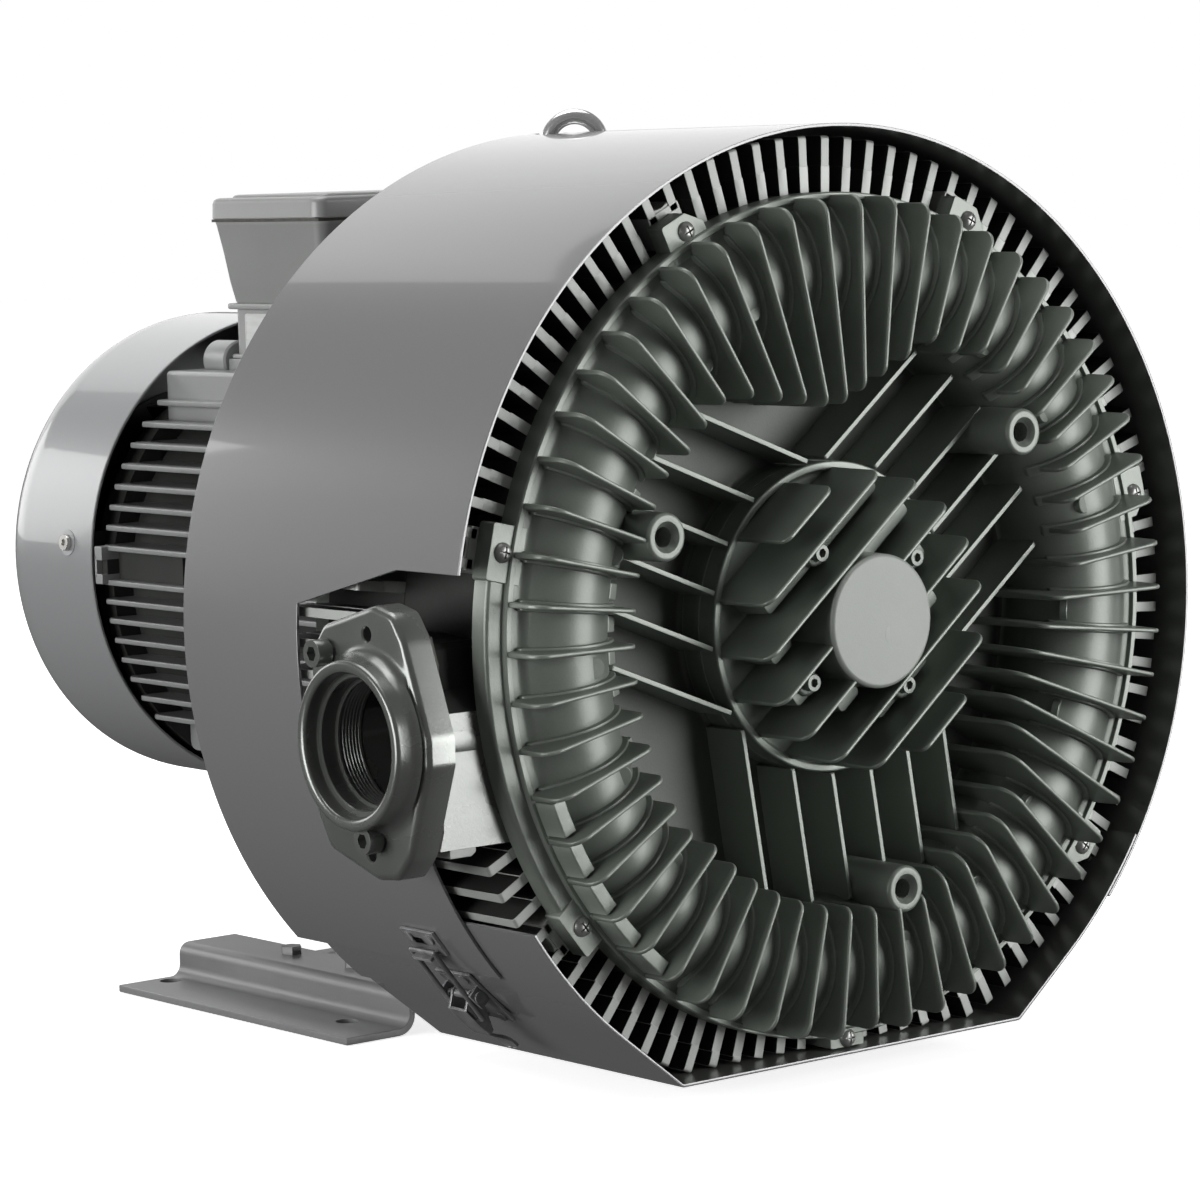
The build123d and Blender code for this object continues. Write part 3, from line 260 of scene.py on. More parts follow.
def plate(poly, half, w=0.0, seg=2, off=0.0, ang=28.0):
    """(r, y) outline as a plate on the +X side; half(r, y) is half its thickness."""
    a = [(r, y, off - half(r, y)) for r, y in poly]
    b = [(r, y, off + half(r, y)) for r, y in poly]
    return loft([a, b], w, seg, ang)


def block(x0, x1, y0, y1, z0, z1, w=0.0, seg=2):
    return slab([(x0, z0), (x1, z0), (x1, z1), (x0, z1)], y0, y1, w, seg)


def rod(r, y0, y1, x=0.0, z=0.0, n=32, w=0.0, seg=2):
    return slab([(x + r * cos(2 * pi * i / n), z + r * sin(2 * pi * i / n)) for i in range(n)], y0, y1, w, seg, ang=45.0)


def moved(shell, m):
    return [m @ Vector(p) for p in shell[0]], shell[1]


def sweep(path, r, n=12, closed=False):
    """Round bar along points."""
    pts = [Vector(p) for p in path]
    k = len(pts)
    v, f = [], []
    prev = None
    for i, p in enumerate(pts):
        if closed:
            t = (pts[(i + 1) % k] - pts[i - 1]).normalized()
        else:
            t = (pts[min(i + 1, k - 1)] - pts[max(i - 1, 0)]).normalized()
        if prev is None:
            a = Vector((0, 0, 1)) if abs(t.z) < 0.9 else Vector((0, 1, 0))
            u = t.cross(a).normalized()
        else:
            u = (prev - t * prev.dot(t)).normalized()
        prev = u
        b = t.cross(u)
        v += [p + (u * cos(2 * pi * j / n) + b * sin(2 * pi * j / n)) * r for j in range(n)]
    for i in range(k if closed else k - 1):
        j = (i + 1) % k
        for q in range(n):
            s = (q + 1) % n
            f.append((i * n + q, i * n + s, j * n + s, j * n + q))
    if not closed:
        f.append(tuple(range(n)))
        f.append(tuple(range((k - 1) * n, k * n)))
    return cook(v, f)


class Piece:
    def __init__(self):
        self.v, self.f, self.m = [], [], []

    def add(self, shell, m=None, mat=0):
        v, f = shell
        b = len(self.v)
        self.v.extend([(m @ Vector(p)) for p in v] if m is not None else v)
        self.f.extend([tuple(i + b for i in q) for q in f])
        self.m.extend([mat] * len(f))
        return self

    def build(self, name, body, mats, nodes=(), slot=None, sharp=34.0, carve=(), weighted=True):
        me = bpy.data.meshes.new(name)
        me.from_pydata([place(p) for p in self.v], [], self.f)
        me.update()
        for mt in (mats if isinstance(mats, (list, tuple)) else [mats]):
            me.materials.append(mt)
        me.polygons.foreach_set("material_index", self.m)
        ob = bpy.data.objects.new(name, me)
        bpy.context.scene.collection.objects.link(ob)
        if carve:
            for i, c in enumerate(carve):
                cm = bpy.data.meshes.new(name + "_c")
                cm.from_pydata([place(p) for p in c[0]], [], c[1])
                cm.update()
                co = bpy.data.objects.new(name + "_c%d" % i, cm)
                bpy.context.scene.collection.objects.link(co)
                md = ob.modifiers.new("cut", 'BOOLEAN')
                md.operation = 'DIFFERENCE'
                md.solver = 'EXACT'
                md.object = co
                dg = bpy.context.evaluated_depsgraph_get()
                dg.update()
                new = bpy.data.meshes.new_from_object(ob.evaluated_get(dg))
                ob.modifiers.clear()
                old = ob.data
                ob.data = new
                bpy.data.meshes.remove(old)
                bpy.data.objects.remove(co, do_unlink=True)
                bpy.data.meshes.remove(cm)
            ob.data.name = name
            bm = bmesh.new()
            bm.from_mesh(ob.data)
            bmesh.ops.remove_doubles(bm, verts=bm.verts, dist=2e-6)
            bm.to_mesh(ob.data)
            bm.free()
        me = ob.data
        me.shade_smooth()
        me.set_sharp_from_angle(angle=rad(sharp))
        if weighted:
            wn = ob.modifiers.new("normals", 'WEIGHTED_NORMAL')
            wn.keep_sharp = True
            wn.weight = 60
        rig.ride(ob, body)
        if nodes:
            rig.replaces(ob, *nodes)
        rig.slot(ob, SLOT_OF[(mats[0] if isinstance(mats, (list, tuple)) else mats).name[5:]])
        return ob


# ---------------------------------------------------------------- materials
SLOT_OF = {"cast_paint": "casting_paint", "cap_paint": "casting_paint", "cast_paint_port": "casting_paint", "dark_void": "casting_paint", "cast_paint_bars": "casting_paint", "cast_paint_hub": "casting_paint", "shroud_paint": "shroud_paint",
           "motor_paint": "motor_paint", "cowl_paint": "motor_paint", "box_paint": "motor_paint", "foot_paint": "foot_paint",
           "dark_zinc": "dark_zinc", "chrome_steel": "chrome_steel", "bare_plate": "bare_plate"}


def srgb(r, g, b):
    def c(x):
        x /= 255.0
        return x / 12.92 if x <= 0.04045 else ((x + 0.055) / 1.055) ** 2.4
    return (c(r), c(g), c(b), 1.0)


def finish_mat(name, base, rough=0.4, metal=0.0, var=0.06, cloud=6.0, grain=900.0, bump=0.06, dist=0.0004, rvar=0.08,
               coat=0.0, coat_rough=0.2, edge=0.0, stretch=None, ior=1.5, spots=0.0, dark=None, spec=0.5):
    """Painted or bare surface: cloudy tone, fine grain relief, uneven gloss, and sharp edges lightened as a painted
    highlight.
    """
    m = bpy.data.materials.new("look_" + name)
    m.use_nodes = True
    nt = m.node_tree
    nt.nodes.clear()
    N = lambda t: nt.nodes.new(t)
    L = nt.links.new
    out = N('ShaderNodeOutputMaterial')
    bs = N('ShaderNodeBsdfPrincipled')
    L(bs.outputs[0], out.inputs[0])
    bs.inputs['Metallic'].default_value = metal
    bs.inputs['IOR'].default_value = ior
    bs.inputs['Specular IOR Level'].default_value = spec
    bs.inputs['Coat Weight'].default_value = coat
    bs.inputs['Coat Roughness'].default_value = coat_rough
    tc = N('ShaderNodeTexCoord')
    src = tc.outputs['Object']
    if stretch:
        mp = N('ShaderNodeMapping')
        mp.inputs['Scale'].default_value = stretch
        L(src, mp.inputs['Vector'])
        src = mp.outputs['Vector']
    n1 = N('ShaderNodeTexNoise')
    n1.inputs['Scale'].default_value = cloud
    n1.inputs['Detail'].default_value = 5.0
    n1.inputs['Roughness'].default_value = 0.6
    L(src, n1.inputs['Vector'])
    n2 = N('ShaderNodeTexNoise')
    n2.inputs['Scale'].default_value = grain
    n2.inputs['Detail'].default_value = 3.0
    n2.inputs['Roughness'].default_value = 0.55
    L(src, n2.inputs['Vector'])
    cr = N('ShaderNodeValToRGB')
    cr.color_ramp.interpolation = 'EASE'
    b = base
    lo = tuple(x * (1 - var) for x in b[:3]) + (1,)
    hi = tuple(min(1, x * (1 + var)) for x in b[:3]) + (1,)
    if dark:
        lo = dark
    cr.color_ramp.elements[0].position = 0.32
    cr.color_ramp.elements[0].color = lo
    cr.color_ramp.elements[1].position = 0.68
    cr.color_ramp.elements[1].color = hi
    L(n1.outputs['Fac'], cr.inputs['Fac'])
    col = cr.outputs['Color']
    # fine tone speckle
    mx = N('ShaderNodeMix')
    mx.data_type = 'RGBA'
    mx.blend_type = 'MULTIPLY'
    r2 = N('ShaderNodeValToRGB')
    r2.color_ramp.elements[0].position = 0.3
    r2.color_ramp.elements[0].color = (1 - var, 1 - var, 1 - var, 1)
    r2.color_ramp.elements[1].position = 0.7
    r2.color_ramp.elements[1].color = (1, 1, 1, 1)
    L(n2.outputs['Fac'], r2.inputs['Fac'])
    mx.inputs['Factor'].default_value = 0.8
    L(col, mx.inputs['A'])
    L(r2.outputs['Color'], mx.inputs['B'])
    col = mx.outputs['Result']
    # sharp edges lightened from Pointiness towards a paler tone: a painted highlight along the edges
    if edge > 0:
        ge = N('ShaderNodeNewGeometry')
        er = N('ShaderNodeValToRGB')
        er.color_ramp.elements[0].position = 0.53
        er.color_ramp.elements[0].color = (0, 0, 0, 1)
        er.color_ramp.elements[1].position = 0.62
        er.color_ramp.elements[1].color = (edge, edge, edge, 1)
        L(ge.outputs['Pointiness'], er.inputs['Fac'])
        m2 = N('ShaderNodeMix')
        m2.data_type = 'RGBA'
        L(er.outputs['Color'], m2.inputs['Factor'])
        L(col, m2.inputs['A'])
        m2.inputs['B'].default_value = tuple(min(1, x * 2.1 + 0.05) for x in b[:3]) + (1,)
        col = m2.outputs['Result']
    L(col, bs.inputs['Base Color'])
    mr = N('ShaderNodeMapRange')
    mr.inputs['To Min'].default_value = max(0.03, rough - rvar)
    mr.inputs['To Max'].default_value = min(1, rough + rvar)
    L(n1.outputs['Fac'], mr.inputs['Value'])
    L(mr.outputs['Result'], bs.inputs['Roughness'])
    bp = N('ShaderNodeBump')
    bp.inputs['Strength'].default_value = bump
    bp.inputs['Distance'].default_value = dist
    L(n2.outputs['Fac'], bp.inputs['Height'])
    L(bp.outputs['Normal'], bs.inputs['Normal'])
    return m


CAST = finish_mat("cast_paint", (0.205, 0.227, 0.200, 1), rough=0.46, metal=0.28, var=0.08, cloud=9.0, grain=700.0, bump=0.18, dist=0.0005, rvar=0.07, coat=0.25, coat_rough=0.25, edge=0.6)
PORTM = finish_mat("cast_paint_port", (0.150, 0.158, 0.148, 1), rough=0.27, metal=0.5, var=0.08, cloud=14.0, grain=700.0, bump=0.12, dist=0.0005, rvar=0.06, coat=0.4, coat_rough=0.16, edge=0.5)
# darker variant of the cast paint for the well floor: painted shade in the recess
WELL_SHADE = finish_mat("cast_paint_well", (0.088, 0.098, 0.086, 1), rough=0.5, metal=0.1, var=0.1, cloud=9.0, grain=700.0, bump=0.2, dist=0.0005, edge=0.2)
CAST_BARS = finish_mat("cast_paint_bars", (0.36, 0.375, 0.355, 1), rough=0.45, metal=0.1, var=0.07, cloud=11.0, grain=800.0, bump=0.15, dist=0.0005, edge=0.4)
HUB_MAT = finish_mat("cast_paint_hub", (0.20, 0.224, 0.197, 1), rough=0.40, metal=0.35, var=0.07, cloud=14.0, grain=900.0, bump=0.16, dist=0.0005, coat=0.2, coat_rough=0.3, edge=0.6)
# lighter paint for the front face of the hub cap only: painted light on the face turned to the lamps
CAP_FACE_LIGHT = finish_mat("cap_paint", (0.31, 0.332, 0.305, 1), rough=0.42, var=0.05, cloud=16.0, grain=900.0, bump=0.14, dist=0.0004, coat=0.15, coat_rough=0.3, edge=0.3)
# near-black colour for gaps, hollows and shaded parts: painted shade
SHADE_VOID = finish_mat("dark_void", (0.030, 0.032, 0.029, 1), rough=0.62, var=0.2, cloud=12.0, grain=700.0, bump=0.12, dist=0.0004, spec=0.25)
SHROUD = finish_mat("shroud_paint", (0.205, 0.205, 0.208, 1), rough=0.27, metal=0.2, var=0.006, cloud=1.6, grain=240.0, bump=0.01, dist=0.00015, rvar=0.004, coat=0.7, coat_rough=0.05)
# darker paint for the inside of the shroud: painted shade inside the shroud
INNER_SHADE = finish_mat("shroud_inner_paint", (0.125, 0.132, 0.122, 1), rough=0.36, metal=0.15, var=0.06, cloud=6.0, grain=900.0, bump=0.05, dist=0.0003, coat=0.3, coat_rough=0.2)
MOTOR = finish_mat("motor_paint", (0.195, 0.20, 0.197, 1), rough=0.36, var=0.05, cloud=7.0, grain=900.0, bump=0.09, dist=0.0004, coat=0.3, coat_rough=0.2, edge=0.5)
COWL = finish_mat("cowl_paint", (0.285, 0.288, 0.293, 1), rough=0.30, metal=0.10, var=0.006, cloud=2.0, grain=240.0, bump=0.01, dist=0.00015, rvar=0.004, coat=0.7, coat_rough=0.06)
BOXP = finish_mat("box_paint", (0.235, 0.24, 0.235, 1), rough=0.38, var=0.05, cloud=8.0, grain=1100.0, bump=0.08, dist=0.0003, coat=0.2, coat_rough=0.25, edge=0.4)
FOOT = finish_mat("foot_paint", (0.165, 0.165, 0.168, 1), rough=0.36, var=0.08, cloud=10.0, grain=700.0, bump=0.08, dist=0.0004, coat=0.3, coat_rough=0.25, edge=0.4)
PLATEM = finish_mat("base_plate_paint", (0.42, 0.42, 0.415, 1), rough=0.4, var=0.06, cloud=7.0, grain=900.0, bump=0.06, edge=0.2)
SCREWZ = finish_mat("dull_screw", (0.34, 0.345, 0.33, 1), rough=0.36, metal=0.55, var=0.14, cloud=60.0, grain=1500.0, bump=0.08, dist=0.0002, rvar=0.1, edge=0.5)
ZINC = finish_mat("zinc_steel", (0.62, 0.61, 0.58, 1), rough=0.28, metal=1.0, var=0.12, cloud=60.0, grain=1500.0, bump=0.06, dist=0.0002, rvar=0.1)
DSTEEL = finish_mat("dark_bolt", (0.12, 0.12, 0.122, 1), rough=0.38, metal=0.4, var=0.14, cloud=60.0, grain=1500.0, bump=0.08, dist=0.0002, rvar=0.1, edge=0.4)
DZINC = finish_mat("dark_zinc", (0.235, 0.235, 0.24, 1), rough=0.33, metal=0.35, var=0.22, cloud=90.0, grain=1200.0, bump=0.12, dist=0.0003, rvar=0.12, edge=0.6)
CHROME = finish_mat("chrome_steel", (0.72, 0.72, 0.72, 1), rough=0.20, metal=0.75, var=0.04, cloud=30.0, grain=600.0, bump=0.01, dist=0.0002, rvar=0.04)
BLACKST = finish_mat("black_steel", (0.04, 0.04, 0.042, 1), rough=0.35, metal=0.6, var=0.2, cloud=80.0, grain=1500.0, bump=0.06, dist=0.0002)
ESTEEL = finish_mat("electrical_steel", (0.30, 0.31, 0.33, 1), rough=0.45, metal=0.9, var=0.15, cloud=30.0, grain=1800.0, bump=0.1, stretch=(1, 12, 1))
COPPER = finish_mat("copper_enamel", (0.48, 0.16, 0.06, 1), rough=0.3, metal=0.6, var=0.2, cloud=120.0, grain=900.0, bump=0.3, dist=0.001)
MACH = finish_mat("machined_steel", (0.56, 0.56, 0.55, 1), rough=0.26, metal=1.0, var=0.08, cloud=40.0, grain=1600.0, bump=0.08, dist=0.0002, stretch=(1, 8, 1))
BEAR = finish_mat("bearing_steel", (0.66, 0.66, 0.66, 1), rough=0.16, metal=1.0, var=0.05, cloud=50.0, grain=1600.0, bump=0.03, dist=0.0002)
ALLOY = finish_mat("cast_alloy", (0.55, 0.55, 0.54, 1), rough=0.42, metal=0.9, var=0.12, cloud=40.0, grain=700.0, bump=0.2, dist=0.0005)
RUBBER = finish_mat("rubber_seal", (0.02, 0.02, 0.021, 1), rough=0.6, var=0.2, cloud=60.0, grain=900.0, bump=0.1)
GASKET = finish_mat("gasket_fibre", (0.09, 0.085, 0.075, 1), rough=0.8, var=0.25, cloud=90.0, grain=700.0, bump=0.3)
PLASTIC = finish_mat("black_plastic", (0.022, 0.022, 0.023, 1), rough=0.42, var=0.15, cloud=60.0, grain=1500.0, bump=0.08)
BOARD = finish_mat("board_plastic", (0.10, 0.04, 0.02, 1), rough=0.4, var=0.15, cloud=60.0, grain=1200.0, bump=0.05)
BRASS = finish_mat("brass_plain", (0.63, 0.43, 0.16, 1), rough=0.28, metal=1.0, var=0.1, cloud=60.0, grain=1500.0, bump=0.05)
LABEL = finish_mat("bare_plate", (0.60, 0.61, 0.60, 1), rough=0.35, metal=0.35, var=0.07, cloud=50.0, grain=1400.0, bump=0.05, stretch=(1, 1, 6))

# ---------------------------------------------------------------- sizes
SPLIT1, SPLIT2, SYM = 21.0, 104.0, 101.0
YB = 2 * SYM
RM, RT, YC = 214.0, 39.0, 30.0
FIN_Y, R_FL, R_BAR = -21.5, 258.7, 293.0
MOTOR_FIN_Z = (-95.8, -81.6, -67.5, -53.4, -39.4, -25.5, -11.9, 1.5, 25.2, 38.9, 52.6, 66.5, 80.3, 94.3, 108.2, 122.5)
SCREW_PH, BOSS_PH, BAR_PH = 115.52, 38.5, 117.36
PZ, IN_Y = -48.0, 57.0
FLAT = -266.6
screw_a = [SCREW_PH - k * 360.0 / 7 for k in range(7)]
boss_a = [BOSS_PH + 120.0 * k for k in range(3)]
GAP = 360.0 / 56


def dome(phi, r=RT):
    return (RM + r * cos(rad(phi)), YC - r * sin(rad(phi)))


# ================================================================ front cover
P = Piece()
prof = [(40, 52), (40, 27)] + fil([(95.4, 27), (95.4, 45), (175, 45)], [0.8, 4, 0], 4)[:-1]
prof = [(40, 52), (40, 27), (94.6, 27), (95.4, 27.8)] + arc(99.4, 41, 4, 180, 90, 4) + arc(170, 40, 5, 90, 0, 4)
prof += [dome(180 - (180 - 38) * i / 40) for i in range(41)]
prof += [(247.0, 7.2), (249.0, 8.0), (253.6, 8.0), (254.2, 6.4), (254.8, 5.8), (257.9, 5.8), (258.7, 6.6), (258.7, 20.9), (246.6, 20.9), (246.6, 30), (181.5, 30), (181.5, 52)]
P.add(lathe(prof, 336))


def fin_in(th):
    """Inner end of a fin: two shallow vees opposite the bosses, else a near-round opening."""
    a = th % 360.0
    if 20.0 < a <= 60.0:
        cap = 184.0
    elif 60.0 < a <= 145.0 or 224.0 < a <= 268.0:
        cap = 174.5
    elif 268.0 < a <= 284.0:
        cap = 176.0
    elif 284.0 < a <= 315.0:
        cap = 168.0
    else:
        cap = 181.0
    for mid in (98.5, 338.5):
        dd = abs((a - mid + 180.0) % 360.0 - 180.0)
        den = cos(rad(dd)) - 0.3 * sin(rad(dd))
        if dd < 60.0 and den > 0.3:
            cap = min(cap, 130.7 / den)
    return cap


fin_cache = {}
pad_poly = [(183.0, 16)] + [dome(146 - (146 - 46) * i / 18, 42.6) for i in range(19)] + [(249.5, 4), (250.5, 10), (236, 18), (200, 16)]
pad = plate(pad_poly, lambda r, y: 3.0 + (y + 15) * 0.022, w=1.2, seg=2)
FIN_A = [SCREW_PH + k * GAP for k in range(56)]
for th in FIN_A:
    a = th % 360.0
    ri = round(fin_in(th), 1)
    rc = 13.0 if 284 < a < 350 else 7.5
    ro = 252.6 if abs(a - 270) < 3 else 257.0
    if (ri, rc, ro) not in fin_cache:
        fp_ = fil([(ri, 48), (ri, FIN_Y), (ro, FIN_Y), (ro, 8.5), (250, 14), (232, 20), (190, 20), (190, 48)], [0, rc, 10.5, 0, 0, 0, 0, 0], 7)
        fin_cache[(ri, rc, ro)] = plate(fp_, lambda r, y: 1.32 + (y + 21.5) * 0.019, w=1.0, seg=3)
    P.add(fin_cache[(ri, rc, ro)], turn(th))
    P.add(pad, turn(th))
# ejector marks between the fins, flat discs a little proud of the dome
disc = [(0, 1.5), (5.8, 1.5), (6.2, 1.15), (6.2, -3.0), (0, -3.0)]
for k in range(56):
    th = SCREW_PH + (k + 0.5) * GAP
    if k % 3 != 1:
        continue
    phi = 118 + 7 * ((k * 7) % 5 - 2)
    r, y = dome(phi, RT - 0.9)
    dv = lathe([(q, -b) for q, b in disc], 28)
    P.add(dv, turn(th) @ shift(r, y, 0) @ Matrix.Rotation(rad(90 - phi), 4, 'Z').inverted())
# short steps low on the inner wall, between the fins on the left
for th in FIN_A:
    a = (th + GAP / 2) % 360.0
    if 150 < a < 205:
        P.add(plate(fil([(166.0, 46), (166.0, 20.5), (173.5, 17.5), (178.0, 24), (178, 46)], [0, 1.5, 1.5, 0, 0], 3), lambda r, y: 5.0, w=0.9), turn(a))
# blocks that bridge the outer ends of the fins, lower left
for th in FIN_A:
    a = (th + GAP / 2) % 360.0
    if 198 < a < 233:
        P.add(lathe(fil([(245.8, 12), (245.8, -10.2), (255.2, -10.2), (256.0, 12)], [0, 1.2, 1.2, 0], 3), 6, a - 2.45, a + 2.45), None)
# smooth wide flange by the inlet
P.add(lathe(fil([(246, 20.9), (246, 9.2), (270.5, 9.2), (271.5, 20.9)], [0, 1, 2.5, 0], 4), 44, 166, 219, w=0.0))
# screw lugs: squared pads, the upper ones cut off at one corner
lug_a = fil([(249, -15.5), (264, -15.5), (274.5, -4), (274.5, 16.5), (249, 16.5)], [0, 1.5, 1.5, 2, 0], 3)
lug_b = fil([(249, -17), (273.5, -17), (273.5, 17.5), (249, 17.5)], [0, 2, 2, 0], 3)
lug_low = fil([(249, -14), (266.3, -14), (266.3, 14), (249, 14)], [0, 1.5, 1.5, 0], 3)
for a in screw_a:
    q = a % 360.0
    low = abs(q - 270) < 5
    pl = lug_low if low else (lug_b if 140 < q < 250 else lug_a)
    P.add(loft([[(r, 20.9, t) for r, t in pl], [(r, 7.6, t * 0.98) for r, t in pl]], w=1.2, seg=2), turn(a))
# three tapped bosses
boss = [(0, 48), (15.4, 48), (14.6, -17.6)] + arc(12.1, -18.3, 2.5, 0, -90, 5) + [(9.6, -20.8), (9.2, -20.6), (7.3, -18.2)]
t = -17.6
while t < 12:
    boss += [(6.9, t), (6.2, t + 0.55), (6.2, t + 0.85), (6.9, t + 1.4)]
    t += 1.75
boss += [(6.9, 14), (0, 17)]
for a in boss_a:
    P.add(lathe(boss, 56), turn(a) @ shift(170, 0, 0))
# stiffening ribs in the well
for a in boss_a:
    for off in (-83.0, -48.0, -17.0, 14.0, 46.0, 78.0):
        r_in = sqrt(96.0 ** 2 - (abs(off) - 1.5) ** 2)
        r_out = sqrt(177.0 ** 2 - off ** 2)
        poly = fil([(r_in, 46.5), (r_in, 13.0), (r_out, 12.0), (r_out, 46.5)], [0, 1.5, 3, 0], 3)
        P.add(plate(poly, lambda r, y: 1.45 + (y - 13) * 0.022, w=0.9, seg=2, off=off), turn(a))
cover = P.build("cover_casting", "housing", [CAST, WELL_SHADE], ("front_cover",), "front_cover", sharp=40)
axis_c = place((0.0, 0.0, 0.0))
floor_y = place((0.0, 43.0, 0.0))[1]
# front-facing faces of the well floor take the darker well colour: painted shade in the recess
for q in cover.data.polygons:
    rr = sqrt((q.center.x - axis_c[0]) ** 2 + (q.center.z - axis_c[2]) ** 2)
    if 0.094 < rr < 0.176 and q.center.y > floor_y and q.normal.y < -0.5:
        q.material_index = 1

# ================================================================ hub cover
P = Piece()
CAP_R, CAP_Y, HUB_R = 40.8, -32.1, 95.4
hp = [(0, CAP_Y), (CAP_R - 2.6, CAP_Y)] + arc(CAP_R - 2.6, CAP_Y + 2.6, 2.6, -90, 0, 5) + [(CAP_R + 1.2, 14)] + arc(CAP_R + 5.2, 15.2, 4, 180, 90, 4) + arc(86.5, 16.2, 3, 90, 0, 3) + [(90.2, 14.2)] + arc(91.4, 14.0, 1.0, 180, 270, 3) + arc(94.2, 14.2, 1.2, -90, 0, 3) + [(HUB_R, 26.6), (0, 26.6)]
P.add(lathe(hp, 192))
# the cap's front face takes the lighter colour while its side keeps the hub colour: painted light
for i_, q_ in enumerate(P.f):
    c_ = sum((Vector(P.v[j_]) for j_ in q_), Vector()) / len(q_)
    if c_.y < -29.5 and sqrt(c_.x ** 2 + c_.z ** 2) < 41.5:
        P.m[i_] = 1
for off in (-87.0, -68.0, -42.5, -14.5, 14.5, 42.5, 68.0, 87.0):
    h = sqrt(90.5 ** 2 - off ** 2)
    cr = 9.0 if abs(off) < 80 else 7.0
    pl = fil([(-h, 20), (-h, -30), (h, -30), (h, 20)], [0, cr, cr, 0], 6)
    P.add(plate(pl, lambda r, y: 1.3 + (y + 30) * 0.016, w=0.95, seg=3, off=off), turn(BOSS_PH))
for x0, x1, off, wd, yt in ((-48, 66, 55.3, 15, -6), (26, 74, 28.5, 15, -9), (-64, -45, 28.5, 15, -5), (-46, -27, -28.5, 15, -9), (42, 56, -28.5, 15, -11), (-24, 28, -55.3, 15, -6), (45, 68, 0, 17, -9), (-69, -45, 0, 17, -9)):
    pl = fil([(x0 - 1.5, off - wd / 2 - 1), (x1 + 1.5, off - wd / 2 - 1), (x1 + 1.5, off + wd / 2 + 1), (x0 - 1.5, off + wd / 2 + 1)], 3, 3)
    pt = fil([(x0, off - wd / 2), (x1, off - wd / 2), (x1, off + wd / 2), (x0, off + wd / 2)], 3, 3)
    P.add(loft([[(x, 20, z) for x, z in pl], [(x, yt, z) for x, z in pt]], w=0.8), turn(BOSS_PH))
sb = [(0, 20), (9.4, 20), (8.6, -9.8)] + arc(6.9, -9.8, 1.7, 0, -90, 4) + [(5.7, -11.5), (5.6, -11.4), (5.6, -8.0), (0, -8.0)]
for k in range(4):
    P.add(lathe(sb, 36), turn(BOSS_PH + 90 * k) @ shift(55.3, 0, 0))
# small crescent dimple left of plain relief on the cap
P.add(lathe([(0, -31.0), (0, -31.98), (6.2, -31.98), (6.8, -31.7), (6.8, -30.6)], 36), shift(6.5, 0.0, -9.0) @ Matrix.Rotation(rad(3.2), 4, 'Z') @ shift(0, -0.02, 0), mat=1)
P.build("hub_casting", "housing", [HUB_MAT, CAP_FACE_LIGHT], ("hub_cover",), "hub_cover", sharp=40)


# ================================================================ casings
def bar_list(skip_left):
    out = []
    for k in range(98):
        th = BAR_PH - 360.0 / 98 * k
        x, z = pol(275.0, th)
        if (-105.0 if x < 0 else -121.0) < z < (50.0 if skip_left else 26.0) and ((x < 0) == skip_left):
            continue
        out.append(th)
    return out


def bars(P, y0, y1, skip_left, front):
    """Radial cooling bars; each has a short parting step part way out."""
    rim = [(247.0, y0), (R_FL - 0.6, y0), (R_FL, y0 + 0.6), (R_FL, y1 - 0.6), (R_FL - 0.6, y1), (247.0, y1)]
    # the ring between the bars takes the near-black colour: painted shade
    P.add(lathe(rim, 224), mat=2)
    cache = {}
    for i, th in enumerate(bar_list(skip_left)):
        s = sin(rad(th))
        ro = R_BAR if s > -0.88 else min(R_BAR, 266.4 / abs(s) - 0.3)
        ro = round(ro, 1)
        if ro not in cache:
            yf, yb = (y0, y1)
            inner = plate(fil([(251, yf + 0.2), (min(275.0, ro), yf + 0.2), (min(275.0, ro), yb), (251, yb)], [0, 0.5, 0, 0], 2),
                          lambda r, y: 3.45 - (y - y0) * 0.006, w=0.4, seg=2)
            outer = None
            if ro > 276.5:
                outer = plate(fil([(274.2, yf), (ro, yf), (ro, yb), (274.2, yb)], [0, 2.0, 1.5, 0], 3),
                              lambda r, y: 3.15 - (y - y0) * 0.006, w=0.45, seg=2)
            cache[ro] = (inner, outer)
        inner, outer = cache[ro]
        for sh_, tw_ in ((inner, th), (outer, th + 0.06)):
            if not sh_:
                continue
            n0 = len(P.f)
            P.add(sh_, turn(tw_))
            # the flat sides of each bar take the near-black colour: painted shade between the bars
            for i_, q_ in enumerate(sh_[1]):
                a_, b_, c_ = (Vector(sh_[0][j_]) for j_ in q_[:3])
                nn_ = (b_ - a_).cross(c_ - a_)
                if nn_.length > 1e-9 and abs(nn_.z) / nn_.length > 0.93:
                    P.m[n0 + i_] = 2
    for a in screw_a:
        low = abs(a + 90) < 5 or abs(a - 270) < 5
        ro = 266.2 if low else 283.5
        if front:
            poly = [(252, -10.5)] + [(ro + 3.5 * abs(t / 9.5) ** 2 - 3.5, t) for t in (-9.5, -7, -4, 0, 4, 7, 9.5)] + [(252, 10.5)]
            P.add(loft([[(r, y0 + 0.8, t) for r, t in poly], [(r, y0 + 18, t) for r, t in poly]], w=0.8), turn(a))
        rr = 266.2 if low else 279
        P.add(loft([[(r, y0, t) for r, t in ((252, -13), (rr, -13), (rr, 13), (252, 13))], [(r, y1, t) for r, t in ((252, -13), (rr, -13), (rr, 13), (252, 13))]], w=1.0), turn(a))


